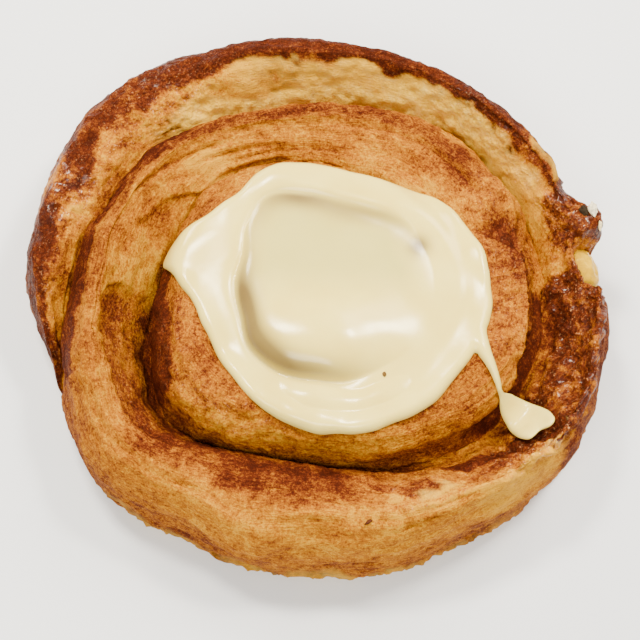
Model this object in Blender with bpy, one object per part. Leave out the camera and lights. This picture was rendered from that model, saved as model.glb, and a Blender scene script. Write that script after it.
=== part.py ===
"""A danish pastry swirl: one coiled strand of laminated dough, iced over its middle, with a bead of
custard showing where the outer turn has burst. Lengths in the tables are millimetres, the model is in metres.

The strand is described by how far along the coil it is, in turns. It starts at the tail, low on the left,
and winds inwards clockwise as seen from above: a quarter turn on it is at the back, and a half turn on it is
at the right.
"""

import math

import bmesh
import bpy
import numpy as np
from mathutils import Vector
from mathutils.bvhtree import BVHTree

MM = 0.001

# The coil's middle, set so that the whole pastry is centred on the origin and stands on z = 0.
COIL_CENTRE = (0.57, -2.90)
TAIL_ANGLE = 198.0
COIL_TURNS = 2.58

# Mesh density of the strand: columns to one turn, closer together at the burst, and rows across the strand on
# each side of its crest. The crowding reaches over so many burst widths.
COLUMNS_PER_TURN = 84
BURST_CROWDING = 4.0
CROWDING_REACH = 1.6
PLACE_SAMPLES = 2001
ROWS_OUTSIDE = 7
ROWS_INSIDE = 7
DOME_RINGS = 4

# Radius of the outer face, by turns from the tail.
OUTLINE = (
    (0.00, 50.3), (0.025, 50.5), (0.05, 53.6), (0.078, 56.9), (0.10, 57.7), (0.14, 59.1), (0.18, 60.1),
    (0.22, 57.9), (0.26, 55.8), (0.30, 54.7), (0.33, 53.4), (0.36, 52.8), (0.44, 53.4), (0.50, 53.1),
    (0.58, 54.6), (0.63, 54.5), (0.67, 52.6), (0.72, 50.6), (0.80, 49.2), (0.86, 49.2), (0.883, 48.7),
    (0.911, 50.3), (0.94, 51.9), (0.97, 51.1), (1.00, 50.3),
)
# Radius and height of the groove along the strand's inner side.
GROOVE_RADIUS = (
    (0.00, 49.4), (0.05, 46.2), (0.10, 45.4), (0.14, 43.8), (0.18, 43.0), (0.22, 41.2), (0.30, 39.6),
    (0.38, 41.4), (0.44, 42.0), (0.50, 42.0), (0.60, 41.2), (0.66, 38.6), (0.70, 35.4), (0.76, 32.0),
    (0.80, 30.0), (0.86, 30.4), (0.92, 33.4), (0.96, 33.6), (1.00, 31.8), (1.06, 30.4), (1.12, 30.2),
    (1.18, 29.2), (1.24, 27.4), (1.34, 25.2), (1.46, 25.0), (1.58, 23.6), (1.66, 20.4), (1.80, 17.4),
    (1.93, 15.6), (2.05, 14.6), (2.16, 16.2), (2.30, 17.2), (2.46, 19.4), (2.58, 23.6),
)
GROOVE_HEIGHT = (
    (0.00, 0.0), (0.03, 7.0), (0.08, 13.0), (0.14, 15.0), (0.20, 14.0), (0.30, 10.5), (0.42, 11.5),
    (0.52, 14.0), (0.62, 13.0), (0.72, 11.5), (0.84, 9.5), (0.96, 7.0), (1.07, 5.5), (1.12, 9.0),
    (1.18, 17.0), (1.30, 19.5), (1.50, 21.0), (1.70, 21.0), (1.90, 20.0), (2.10, 20.0), (2.30, 21.0),
    (2.58, 21.0),
)
# Height of the crest, and where it runs: its share of the way in from the outer side of the strand.
CREST_HEIGHT = (
    (0.00, 0.0), (0.02, 8.0), (0.05, 14.5), (0.10, 18.5), (0.16, 21.0), (0.24, 24.0), (0.32, 25.0),
    (0.44, 24.0), (0.56, 23.5), (0.64, 23.5), (0.74, 22.0), (0.86, 20.5), (0.96, 21.0), (1.06, 22.0),
    (1.16, 22.5), (1.30, 24.0), (1.44, 24.0), (1.60, 24.5), (1.78, 25.0), (2.05, 25.0), (2.30, 25.0),
    (2.46, 24.0), (2.58, 21.0),
)
CREST_PLACE = (
    (0.00, 0.50), (0.10, 0.42), (0.20, 0.42), (0.30, 0.44), (0.44, 0.46), (0.54, 0.30), (0.64, 0.24),
    (0.72, 0.36), (0.80, 0.52), (0.88, 0.46), (0.96, 0.46), (1.06, 0.42), (1.16, 0.36), (1.30, 0.38),
    (1.44, 0.34), (1.60, 0.45), (1.80, 0.55), (2.05, 0.55), (2.58, 0.50),
)
# How square the shoulders are: 1 is a straight slope, 2 a round arch, 3 nearly a box.
OUTER_SHOULDER = ((0.0, 2.2), (0.5, 2.5), (0.8, 2.3), (1.06, 2.0), (1.3, 2.2), (1.8, 2.4), (2.58, 2.2))
INNER_SHOULDER = (
    (0.0, 1.6), (0.14, 1.8), (0.30, 1.5), (0.42, 1.3), (0.50, 1.15), (0.56, 0.9), (0.66, 0.95), (0.74, 1.5),
    (0.84, 2.1), (0.94, 1.5), (1.02, 1.15), (1.12, 1.1), (1.20, 1.2), (1.30, 1.3), (1.44, 1.4), (1.70, 2.0),
    (2.58, 2.0),
)
FOOT_INSET = 2.2
FOOT_HEIGHT = 5.0
DOME_HEIGHT = 23.6

# The dough is lumpy: three sizes of swelling, as a wavelength and a height.
LUMPS = ((14.0, 0.8), (6.5, 0.45), (3.4, 0.22))
LUMP_SEED = 11

# Crags, folds and blisters, each by its place in turns and across the strand, its reach in both, and its
# height.
CRAGS = (
    (0.030, 0.34, 0.012, 0.10, 2.2), (0.075, 0.62, 0.020, 0.08, 0.9), (0.105, 0.30, 0.014, 0.10, -0.9),
    (0.150, 0.46, 0.020, 0.07, 0.9), (0.200, 0.36, 0.030, 0.06, 0.7), (0.270, 0.52, 0.035, 0.05, 0.6),
    (0.415, 0.50, 0.016, 0.09, 0.9), (0.455, 0.60, 0.014, 0.07, -0.8), (0.585, 0.66, 0.030, 0.10, -1.3),
    (0.640, 0.50, 0.018, 0.08, 0.8), (0.700, 0.62, 0.016, 0.07, 1.0), (0.745, 0.66, 0.018, 0.06, 0.9),
    (0.840, 0.30, 0.030, 0.06, 0.7), (0.905, 0.42, 0.020, 0.08, -0.7), (1.030, 0.72, 0.030, 0.10, -1.0),
    (1.085, 0.62, 0.020, 0.08, 0.8), (1.470, 0.28, 0.014, 0.12, 1.0), (1.520, 0.20, 0.014, 0.10, -0.9),
    (1.760, 0.34, 0.030, 0.08, 0.7), (2.060, 0.36, 0.025, 0.10, 0.7),
)

# The burst in the outer turn: where it is and how wide, in turns, how far its outer face is drawn in, the
# height of its floor, and how far across the strand it reaches. Just before it a lobe overhangs the outer
# face.
BURST_PLACE = 0.5300
BURST_WIDTH = 0.0122
BURST_DRAWN_IN = 2.2
BURST_FLOOR = 6.0
BURST_REACH = (0.55, 0.65)
LOBE_PLACE = 0.5045
LOBE_WIDTH = 0.013
LOBE_ACROSS = (0.34, 0.16)
LOBE_RISE = 3.4

# The custard: a tongue that runs in from the burst towards the groove behind the outer turn.
CUSTARD_ANGLE = 7.4
CUSTARD_MIDDLE_RADIUS = 48.0
CUSTARD_HALF_LENGTH = 4.6
CUSTARD_HALF_WIDTH = 4.6
CUSTARD_BOTTOM = 4.5
CUSTARD_TOP = 18.5
CUSTARD_SLANT = 0.45
CUSTARD_BULGE_POWER = 3.0
CUSTARD_SIDES = 16
CUSTARD_SLICES = 10

# The icing: the radius of its edge round the coil's middle, by compass angle.
ICING_EDGE = (
    (0, 31.8), (15, 31.0), (30, 29.6), (45, 27.2), (60, 24.7), (75, 23.6), (95, 24.9), (112, 25.0),
    (127, 23.3), (145, 24.4), (158, 27.4), (168, 28.6), (176, 25.5), (188, 22.5), (203, 21.6),
    (220, 22.2), (238, 23.8), (255, 25.8), (272, 27.7), (292, 29.2), (312, 30.2), (330, 30.8), (345, 31.6),
)
ICING_SPOKES = 48
ICING_RING_INSETS = (0.0, 0.35, 1.0, 2.2, 4.0, 6.5, 9.2, 12.0, 15.0, 18.0)
ICING_EDGE_THICKNESS = 1.5
ICING_EDGE_ROUND = 1.6
ICING_EDGE_DROP = 0.7
ICING_BODY_DEPTH = 5.0
ICING_UNDERCUT = 0.06
ICING_WORKING_RADIUS = 21.0
ICING_BLEND_WIDTH = 6.0
ICING_LEAST = 1.2
BRIDGE_REACH = 2.6
BRIDGE_DIRECTIONS = 8
# The top of the icing: a level pool, a crease round the middle, and the swelling inside the crease.
POOL_HEIGHT = 27.3
POOL_TILT_BACK = 0.7
POOL_TILT_RADIUS = 25.0
CREASE_RADIUS = ((0, 22.0), (24, 20.2), (55, 18.2), (81, 17.4), (107, 19.0), (135, 18.4), (162, 15.2),
                 (193, 14.4), (220, 15.4), (247, 16.4), (272, 17.2), (300, 19.2), (330, 21.5))
CREASE_DEPTH = ((0, 0.0), (24, 1.3), (55, 1.1), (90, 1.2), (120, 1.1), (160, 1.7), (200, 1.9), (240, 1.6),
                (270, 1.3), (295, 0.8), (315, 0.0), (340, 0.0))
CREASE_WIDTH = 2.6
SWELL_HEIGHT = 2.3
SWELL_MIDDLE = (0.5, -5.5)
SWELL_REACH = (13.5, 10.5)
SWELL_ROUNDING = 0.75

# The run of icing over the front right, from the pool's edge to the drop at its end: x, y, half width.
DRIP = (
    (28.6, -9.4, 2.4), (30.2, -12.8, 1.5), (31.5, -15.7, 1.1), (32.4, -18.0, 0.95), (33.1, -19.6, 0.95),
    (34.2, -20.6, 1.3), (35.6, -21.6, 2.2), (37.4, -22.7, 2.9), (39.2, -23.3, 2.2), (41.0, -24.2, 1.1),
)
DROP_TAIL = ((37.5, -23.4, 2.4), (37.5, -25.0, 1.8), (37.6, -26.6, 0.8))
RUN_SPACING = 0.9
RUN_SIDES = 8
RUN_LEAST_RINGS = 8
RUN_SMOOTHING_REACH = 2
RUN_RISE = 0.35
RUN_TALLEST = 1.3
RUN_END_TAPER = 0.97

CLEARANCE = 0.3
SHARP_ANGLE = 50.0
RAY_START = 100.0


def curve(keys, at):
    """Smooth curve through (place, value) keys: cubic pieces with the mean slope at each key."""
    place = np.array([k[0] for k in keys], float)
    value = np.array([k[1] for k in keys], float)
    slope = np.gradient(value, place)
    at = np.clip(at, place[0], place[-1])
    i = np.clip(np.searchsorted(place, at, side="right") - 1, 0, len(place) - 2)
    span = place[i + 1] - place[i]
    t = (at - place[i]) / span
    bend = span * (slope[i] * t * (1 - t) ** 2 - slope[i + 1] * t**2 * (1 - t))
    return value[i] + (value[i + 1] - value[i]) * t * t * (3 - 2 * t) + bend


def ring_curve(keys, degrees):
    """The same curve closed on itself, over 360 degrees."""
    wrapped = [(a - 360, v) for a, v in keys[-3:]] + list(keys) + [(a + 360, v) for a, v in keys[:3]]
    return curve(wrapped, np.mod(degrees, 360.0))


def hump(at, middle, width):
    """A bell of height 1."""
    return np.exp(-(((at - middle) / width) ** 2))


def lattice_noise(points, size, seed):
    """Smooth noise from -1 to 1: random values on a cubic lattice of that size, blended between corners."""
    p = np.asarray(points, float) / size + 200.0
    cell = np.floor(p).astype(np.int64)
    f = p - cell
    f = f * f * (3 - 2 * f)
    total = np.zeros(p.shape[:-1])
    for corner in np.ndindex(2, 2, 2):
        c = cell + corner
        h = (c[..., 0] * 73856093) ^ (c[..., 1] * 19349663) ^ (c[..., 2] * 83492791) ^ (seed * 2654435761)
        h = ((h ^ (h >> 13)) * 1274126177) & 0x7FFFFFFF
        weight = np.prod(np.where(np.array(corner), f, 1 - f), axis=-1)
        total += weight * ((h % 65536) / 32767.5 - 1)
    return total


def strand_section(turns, across):
    """Radius and height of the strand's skin. across is 0 at its outer edge, 0.5 on top and 1 inside."""
    outer_radius = np.where(turns < 1, curve(OUTLINE, turns), curve(GROOVE_RADIUS, turns - 1))
    burst = np.exp(-(((turns - BURST_PLACE) / BURST_WIDTH) ** 4))
    outer_radius = outer_radius - BURST_DRAWN_IN * burst
    outer_height = np.where(turns < 1, 0.0, curve(GROOVE_HEIGHT, turns - 1))
    inner_radius = curve(GROOVE_RADIUS, turns)
    inner_height = curve(GROOVE_HEIGHT, turns)
    crest_radius = outer_radius + (inner_radius - outer_radius) * curve(CREST_PLACE, turns)
    crest_height = curve(CREST_HEIGHT, turns)

    outside = across < 0.5
    swing = np.where(outside, across, 1 - across) * math.pi
    power = 2 / np.where(outside, curve(OUTER_SHOULDER, turns), curve(INNER_SHOULDER, turns))
    out = np.clip(np.cos(swing), 0, 1) ** power
    up = np.clip(np.sin(swing), 0, 1) ** power
    edge_radius = np.where(outside, outer_radius, inner_radius)
    edge_height = np.where(outside, outer_height, inner_height)
    radius = crest_radius + (edge_radius - crest_radius) * out
    radius = radius + LOBE_RISE * hump(turns, LOBE_PLACE, LOBE_WIDTH) * hump(across, *LOBE_ACROSS)
    height = edge_height + (crest_height - edge_height) * up

    for place, at, reach, width, rise in CRAGS:
        height = height + rise * hump(turns, place, reach) * hump(across, at, width) * np.clip(height, 0, 1)

    sunk = burst * np.clip((BURST_REACH[1] - across) / (BURST_REACH[1] - BURST_REACH[0]), 0, 1)
    height = height * (1 - sunk) + np.minimum(height, BURST_FLOOR) * sunk
    radius = radius - FOOT_INSET * (1 - np.clip(height / FOOT_HEIGHT, 0, 1)) ** 2
    return radius, height


def to_space(turns, radius, height):
    """Points in millimetres from turns, radius and height, with the dough's lumps added above its base."""
    angle = np.radians(TAIL_ANGLE - 360 * turns)
    points = np.stack([radius * np.cos(angle), radius * np.sin(angle), height + 0 * angle], -1)
    raised = np.clip(height / FOOT_HEIGHT, 0, 1)[..., None]
    for n, (size, rise) in enumerate(LUMPS):
        push = [lattice_noise(points, size, LUMP_SEED + 3 * n + axis) for axis in range(3)]
        points = points + rise * raised * np.stack(push, -1)
    return points + np.array([*COIL_CENTRE, 0.0])


def column_places(per_turn, columns):
    """Where the columns lie, in turns: the same places in every turn, crowded together at the burst."""
    fine = np.linspace(0, 1, PLACE_SAMPLES)
    crowd = 1 + BURST_CROWDING * hump(fine, BURST_PLACE, CROWDING_REACH * BURST_WIDTH)
    total = np.concatenate([[0], np.cumsum((crowd[1:] + crowd[:-1]) / 2)])
    one_turn = np.interp(np.arange(per_turn) / per_turn, total / total[-1], fine)
    i = np.arange(columns + 1)
    return one_turn[i % per_turn] + i // per_turn


def coil_mesh():
    """Vertices and faces of the whole coil: the strand's grid, the dome in its middle and the flat base."""
    per_turn = COLUMNS_PER_TURN
    columns = round(COIL_TURNS * per_turn)
    rows = ROWS_OUTSIDE + ROWS_INSIDE
    turns = column_places(per_turn, columns)[:, None]
    across = np.concatenate([np.linspace(0, 0.5, ROWS_OUTSIDE + 1), np.linspace(0.5, 1, ROWS_INSIDE + 1)[1:]])
    radius, height = strand_section(turns, across[None, :])
    grid = to_space(turns, radius, height)

    # Each column owns its rows but the first, which it shares with the column one turn further out. The first
    # column is the tail's tip, and the last is a single point of the groove one turn back.
    index = np.zeros((columns + 1, rows + 1), int)
    vertices = [grid[0, 0]]
    for i in range(1, columns):
        first = 0 if i < per_turn else 1
        for j in range(first, rows + 1):
            index[i, j] = len(vertices)
            vertices.append(grid[i, j])
        if i >= per_turn:
            index[i, 0] = index[i - per_turn, rows]
    index[columns, :] = index[columns - per_turn, rows]

    faces = []
    for i in range(columns):
        for j in range(rows):
            corners = (index[i, j], index[i, j + 1], index[i + 1, j + 1], index[i + 1, j])
            kept = [c for n, c in enumerate(corners) if c != corners[n - 1]]
            if len(set(kept)) > 2:
                faces.append(kept)

    loop = [int(index[i, rows]) for i in range(columns - per_turn, columns)]
    middle = np.array([*COIL_CENTRE, DOME_HEIGHT])
    edge = np.array([vertices[v] for v in loop])
    inner = loop
    for ring in range(1, DOME_RINGS):
        share = ring / DOME_RINGS
        points = edge + (middle - edge) * share
        points[:, 2] = edge[:, 2] + (DOME_HEIGHT - edge[:, 2]) * math.sin(share * math.pi / 2)
        added = list(range(len(vertices), len(vertices) + per_turn))
        vertices.extend(points)
        for n in range(per_turn):
            faces.append((inner[n], added[n], added[n - per_turn + 1], inner[n - per_turn + 1]))
        inner = added
    vertices.append(middle)
    faces += [(inner[n], len(vertices) - 1, inner[n - per_turn + 1]) for n in range(per_turn)]

    base = [int(index[i, 0]) for i in range(per_turn)]
    vertices.append(np.array([*COIL_CENTRE, 0.0]))
    faces += [(base[n], base[n - per_turn + 1], len(vertices) - 1) for n in range(per_turn)]
    return np.array(vertices), faces


def add_object(name, vertices, faces, material=None):
    """A closed mesh object, from points in millimetres, with its faces turned outwards."""
    mesh = bpy.data.meshes.new(name)
    mesh.from_pydata([tuple(float(x) * MM for x in v) for v in vertices], [], [tuple(f) for f in faces])
    shape = bmesh.new()
    shape.from_mesh(mesh)
    bmesh.ops.triangulate(shape, faces=shape.faces)
    bmesh.ops.recalc_face_normals(shape, faces=shape.faces)
    shape.to_mesh(mesh)
    shape.free()
    mesh.shade_smooth()
    mesh.set_sharp_from_angle(angle=math.radians(SHARP_ANGLE))
    if material:
        mesh.materials.append(material)
    thing = bpy.data.objects.new(name, mesh)
    bpy.context.scene.collection.objects.link(thing)
    return thing


def make_material(name, colour, roughness):
    """A plain finish of one colour."""
    material = bpy.data.materials.new(name)
    material.use_nodes = True
    shader = material.node_tree.nodes["Principled BSDF"]
    shader.inputs["Base Color"].default_value = (*colour, 1.0)
    shader.inputs["Roughness"].default_value = roughness
    shader.inputs["Metallic"].default_value = 0.0
    return material


def boolean(thing, operation, other):
    """Cuts or joins another object into this one, and applies it, using the other one up."""
    cut = thing.modifiers.new(operation.lower(), "BOOLEAN")
    cut.operation = operation
    cut.solver = "EXACT"
    cut.object = other
    graph = bpy.context.evaluated_depsgraph_get()
    made = bpy.data.meshes.new_from_object(thing.evaluated_get(graph))
    thing.modifiers.clear()
    thing.data = made
    bpy.data.objects.remove(other)


def keep_largest_piece(thing):
    """Drops the loose scraps that a cut leaves."""
    shape = bmesh.new()
    shape.from_mesh(thing.data)
    left = set(shape.verts)
    pieces = []
    while left:
        found, front = set(), [left.pop()]
        while front:
            vertex = front.pop()
            found.add(vertex)
            front += [n for e in vertex.link_edges for n in [e.other_vert(vertex)] if n in left]
            left.difference_update(front)
        pieces.append(found)
    largest = max(pieces, key=len)
    bmesh.ops.delete(shape, geom=[v for v in shape.verts if v not in largest], context="VERTS")
    shape.to_mesh(thing.data)
    shape.free()


def custard_body(swell, name, material=None):
    """The custard tongue, or its pocket when swell is the clearance: a rounded lozenge along the radius."""
    sides, rings = CUSTARD_SIDES, CUSTARD_SLICES
    half_height = (CUSTARD_TOP - CUSTARD_BOTTOM) / 2
    lift = (CUSTARD_TOP + CUSTARD_BOTTOM) / 2
    polar = np.linspace(0, math.pi, rings + 1)[1:-1, None]
    around = np.linspace(0, 2 * math.pi, sides, endpoint=False)[None, :]

    def soften(x):
        return np.sign(x) * np.abs(x) ** (2 / CUSTARD_BULGE_POWER)

    along = soften(np.cos(polar)) * (CUSTARD_HALF_LENGTH + swell) + 0 * around
    sideways = soften(np.sin(polar)) * soften(np.cos(around)) * (CUSTARD_HALF_WIDTH + swell)
    upward = soften(np.sin(polar)) * soften(np.sin(around)) * (half_height + swell)
    local = np.stack([along, sideways, upward], -1).reshape(-1, 3)
    ends = [(CUSTARD_HALF_LENGTH + swell, 0, 0), (-CUSTARD_HALF_LENGTH - swell, 0, 0)]
    local = np.vstack([local, ends])
    turn = math.radians(CUSTARD_ANGLE)
    outwards = np.array([math.cos(turn), math.sin(turn)])
    sidewards = np.array([-math.sin(turn), math.cos(turn)])
    plan = (local[:, :1] + CUSTARD_MIDDLE_RADIUS) * outwards + local[:, 1:2] * sidewards
    plan = plan + np.array(COIL_CENTRE)
    points = np.column_stack([plan, local[:, 2] + lift + CUSTARD_SLANT * local[:, 0]])

    count = rings - 1
    faces = []
    for i in range(count - 1):
        for n in range(sides):
            m = (n + 1) % sides
            faces.append((i * sides + n, i * sides + m, (i + 1) * sides + m, (i + 1) * sides + n))
    outer, inner = count * sides, count * sides + 1
    faces += [(n, (n + 1) % sides, outer) for n in range(sides)]
    faces += [((count - 1) * sides + n, (count - 1) * sides + (n + 1) % sides, inner) for n in range(sides)]
    return add_object(name, points, faces, material)


def height_of(tree, x, y):
    """Height of the surface straight below the point, in millimetres."""
    hit = tree.ray_cast(Vector((x * MM, y * MM, RAY_START * MM)), Vector((0, 0, -1)))[0]
    return hit.z / MM if hit else 0.0


def pool_top(radius, degrees):
    """Height of the icing's top away from its edge: a level pool, the crease, and the swelling within it."""
    x, y = radius * np.cos(np.radians(degrees)), radius * np.sin(np.radians(degrees))
    crease_radius = ring_curve(CREASE_RADIUS, degrees)
    crease = ring_curve(CREASE_DEPTH, degrees) * hump(radius, crease_radius, CREASE_WIDTH)
    reach = ((x - SWELL_MIDDLE[0]) / SWELL_REACH[0]) ** 2 + ((y - SWELL_MIDDLE[1]) / SWELL_REACH[1]) ** 2
    swell = SWELL_HEIGHT * np.clip(1 - reach, 0, 1) ** SWELL_ROUNDING
    return POOL_HEIGHT + POOL_TILT_BACK * y / POOL_TILT_RADIUS - crease + swell


def bridged_height(tree, x, y):
    """Height that icing lies at: the dough's own, or the mean of a ring round it where that is higher."""
    turns = np.arange(BRIDGE_DIRECTIONS) * 2 * math.pi / BRIDGE_DIRECTIONS
    ring = [(BRIDGE_REACH * math.cos(a), BRIDGE_REACH * math.sin(a)) for a in turns]
    return max(height_of(tree, x, y), sum(height_of(tree, x + dx, y + dy) for dx, dy in ring) / len(ring))


def icing_pool(tree, material):
    """The pool of icing, as deep as ICING_BODY_DEPTH so that the dough can be cut out of it."""
    degrees = np.arange(ICING_SPOKES) * 360.0 / ICING_SPOKES
    edge = ring_curve(ICING_EDGE, degrees)[None, :]
    inset = np.array(ICING_RING_INSETS)[:, None]
    radius = edge * (1 - inset / ICING_WORKING_RADIUS)
    x = radius * np.cos(np.radians(degrees)) + COIL_CENTRE[0]
    y = radius * np.sin(np.radians(degrees)) + COIL_CENTRE[1]
    lie = np.array([bridged_height(tree, a, b) for a, b in zip(x.ravel(), y.ravel())]).reshape(x.shape)

    from_edge = edge - radius
    blend = np.clip(from_edge / ICING_BLEND_WIDTH, 0, 1)
    blend = blend * blend * (3 - 2 * blend)
    thin = lie + ICING_EDGE_THICKNESS
    top = np.maximum(thin * (1 - blend) + pool_top(radius, degrees) * blend, lie + ICING_LEAST * blend)
    lip = np.clip(1 - from_edge / ICING_EDGE_ROUND, 0, 1)
    top = top - ICING_EDGE_DROP * (1 - np.sqrt(1 - lip**2))

    upper = np.stack([x, y, top], -1).reshape(-1, 3)
    centre = np.array([*COIL_CENTRE, 0.0])
    lower = centre + (upper - centre) * np.array([1 - ICING_UNDERCUT, 1 - ICING_UNDERCUT, 1.0])
    lower = lower - np.array([0, 0, ICING_BODY_DEPTH])
    middle_top = float(pool_top(np.array(0.0), np.array(0.0)))
    middle = [(*COIL_CENTRE, middle_top), (*COIL_CENTRE, middle_top - ICING_BODY_DEPTH)]
    points = np.vstack([upper, lower, middle])

    n, rings = ICING_SPOKES, len(ICING_RING_INSETS)
    under = n * rings
    faces = []
    for i in range(rings - 1):
        for a in range(n):
            b = (a + 1) % n
            faces.append((i * n + a, i * n + b, (i + 1) * n + b, (i + 1) * n + a))
            below = under + i * n
            faces.append((below + b, below + a, below + n + a, below + n + b))
    for a in range(n):
        b = (a + 1) % n
        faces.append((a, under + a, under + b, b))
        faces.append(((rings - 1) * n + a, (rings - 1) * n + b, 2 * under))
        faces.append((under + (rings - 1) * n + b, under + (rings - 1) * n + a, 2 * under + 1))
    return add_object("icing", points, faces, material)


def icing_run(tree, name, route):
    """A round-ended run of icing along a route of (x, y, half width), lying half sunk on the dough."""
    route = np.array(route, float)
    step = np.concatenate([[0], np.cumsum(np.hypot(*np.diff(route[:, :2], axis=0).T))])
    along = np.linspace(0, step[-1], max(RUN_LEAST_RINGS, round(step[-1] / RUN_SPACING)))
    x, y, half = (curve(list(zip(step, route[:, k])), along) for k in range(3))
    x, y = x + COIL_CENTRE[0], y + COIL_CENTRE[1]
    lie = np.array([height_of(tree, a, b) for a, b in zip(x, y)])
    padded = np.pad(lie, RUN_SMOOTHING_REACH, mode="edge")
    window = 2 * RUN_SMOOTHING_REACH + 1
    lie = np.maximum(lie, sum(padded[k:k + len(lie)] for k in range(window)) / window) + RUN_RISE
    ends = np.minimum(along, along[-1] - along)
    taper = np.sqrt(1 - np.clip(1 - ends / half, 0, RUN_END_TAPER) ** 2)

    heading = np.stack([np.gradient(x), np.gradient(y)], -1)
    heading /= np.linalg.norm(heading, axis=1)[:, None]
    side = np.stack([-heading[:, 1], heading[:, 0]], -1)
    turn = np.linspace(0, 2 * math.pi, RUN_SIDES, endpoint=False)
    wide = (half * taper)[:, None] * np.cos(turn)[None, :]
    tall = (np.minimum(half, RUN_TALLEST) * taper)[:, None] * np.sin(turn)[None, :]
    points = np.stack([
        x[:, None] + wide * side[:, :1],
        y[:, None] + wide * side[:, 1:],
        lie[:, None] + tall,
    ], -1).reshape(-1, 3)
    count = len(along)
    faces = [
        (i * RUN_SIDES + n, i * RUN_SIDES + (n + 1) % RUN_SIDES,
         (i + 1) * RUN_SIDES + (n + 1) % RUN_SIDES, (i + 1) * RUN_SIDES + n)
        for i in range(count - 1) for n in range(RUN_SIDES)
    ]
    faces.append(tuple(range(RUN_SIDES)))
    faces.append(tuple((count - 1) * RUN_SIDES + n for n in reversed(range(RUN_SIDES))))
    return add_object(name, points, faces)


def make_dough(material):
    """The coil, with the custard's pocket cut into it."""
    dough = add_object("dough", *coil_mesh(), material)
    boolean(dough, "DIFFERENCE", custard_body(CLEARANCE, "custard_pocket"))
    keep_largest_piece(dough)
    return dough


def make_icing(dough, material):
    """The pool, its run and its drop, joined, with the dough cut out of their underside."""
    tree = BVHTree.FromObject(dough, bpy.context.evaluated_depsgraph_get())
    icing = icing_pool(tree, material)
    for name, route in (("drip", DRIP), ("drop_tail", DROP_TAIL)):
        boolean(icing, "UNION", icing_run(tree, name, route))
    lifted = bpy.data.objects.new("dough_lifted", dough.data.copy())
    bpy.context.scene.collection.objects.link(lifted)
    lifted.data.transform(((1, 0, 0, 0), (0, 1, 0, 0), (0, 0, 1, CLEARANCE * MM), (0, 0, 0, 1)))
    boolean(icing, "DIFFERENCE", lifted)
    keep_largest_piece(icing)
    return icing


def main():
    for old in list(bpy.data.objects):
        bpy.data.objects.remove(old)
    crust = make_material("crust", (0.48, 0.20, 0.05), 0.5)
    fondant = make_material("fondant", (0.83, 0.76, 0.57), 0.25)
    custard = make_material("custard", (0.90, 0.68, 0.16), 0.35)
    dough = make_dough(crust)
    custard_body(0.0, "custard", custard)
    make_icing(dough, fondant)


main()
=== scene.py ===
# %% [markdown]
# # A danish pastry swirl
# One strand of laminated dough is coiled two and a half times, baked brown, and iced over its middle. Near
# the right side the outer turn has burst and a bead of custard shows. The solids of the pastry are loaded
# as a fixed frame. Each gets a finer copy below, with the relief and finish of the real food, and a few
# crumbs lie on top.

import math

import bpy
import numpy as np
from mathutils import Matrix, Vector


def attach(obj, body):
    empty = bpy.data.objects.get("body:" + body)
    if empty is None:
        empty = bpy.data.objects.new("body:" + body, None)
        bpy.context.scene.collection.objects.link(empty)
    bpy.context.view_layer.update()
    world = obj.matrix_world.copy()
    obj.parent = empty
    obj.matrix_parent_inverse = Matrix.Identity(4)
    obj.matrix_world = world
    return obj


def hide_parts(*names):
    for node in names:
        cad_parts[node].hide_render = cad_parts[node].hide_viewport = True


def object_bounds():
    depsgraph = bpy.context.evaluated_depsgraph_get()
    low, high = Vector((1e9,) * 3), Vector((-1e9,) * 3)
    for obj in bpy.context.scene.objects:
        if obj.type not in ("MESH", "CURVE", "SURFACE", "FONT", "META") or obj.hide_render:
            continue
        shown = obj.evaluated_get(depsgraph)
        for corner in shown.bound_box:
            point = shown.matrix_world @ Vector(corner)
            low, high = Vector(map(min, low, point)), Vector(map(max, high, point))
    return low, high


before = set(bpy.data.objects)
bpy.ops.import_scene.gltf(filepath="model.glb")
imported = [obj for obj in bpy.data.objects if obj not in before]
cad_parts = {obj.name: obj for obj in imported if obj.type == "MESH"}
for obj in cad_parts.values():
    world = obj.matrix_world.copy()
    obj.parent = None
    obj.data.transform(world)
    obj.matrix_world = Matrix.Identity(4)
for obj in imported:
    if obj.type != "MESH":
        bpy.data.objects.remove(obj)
solid_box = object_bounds()
print("solids:", sorted(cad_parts), "box:", solid_box)
MM = 0.001

# %% [markdown]
# ## The camera
# The photo looks down at 69 degrees from about 40 cm, which was worked out from the outline's height and
# width. The lens is given by how many pixels one millimetre takes at the pastry, and the small shift puts
# the point it aims at where the photo has it.

# %% Camera
COIL_CENTRE = (0.57, -2.9)
ELEVATION = math.radians(69.0)
DISTANCE = 400.0
AIM = (*COIL_CENTRE, 12.0)
PIXELS_PER_MM = 5.54
FRAME_PIXELS = 640.0
AIM_IN_PHOTO = (316.0, 311.0)
SENSOR_WIDTH = 36.0
NEAREST_SEEN = 0.01


def put_in_scene(name, data):
    """A new object that shows the data, linked into the scene."""
    thing = bpy.data.objects.new(name, data)
    bpy.context.scene.collection.objects.link(thing)
    return thing


def photo_camera():
    """Focal length = sensor width x pixels per mm x distance / frame width."""
    data = bpy.data.cameras.new("camera")
    data.sensor_width = SENSOR_WIDTH
    data.lens = PIXELS_PER_MM * (DISTANCE - AIM[2]) / FRAME_PIXELS * data.sensor_width
    data.shift_x = (FRAME_PIXELS / 2 - AIM_IN_PHOTO[0]) / FRAME_PIXELS
    data.shift_y = -(FRAME_PIXELS / 2 - AIM_IN_PHOTO[1]) / FRAME_PIXELS
    data.clip_start = NEAREST_SEEN
    camera = put_in_scene("camera", data)
    away = np.array([0.0, -math.cos(ELEVATION), math.sin(ELEVATION)])
    camera.location = (np.array(AIM) + DISTANCE * away) * MM
    camera.rotation_euler = (math.pi / 2 - ELEVATION, 0, 0)
    bpy.context.scene.camera = camera


photo_camera()
print("camera lens", round(bpy.context.scene.camera.data.lens, 1), "mm")

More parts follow.
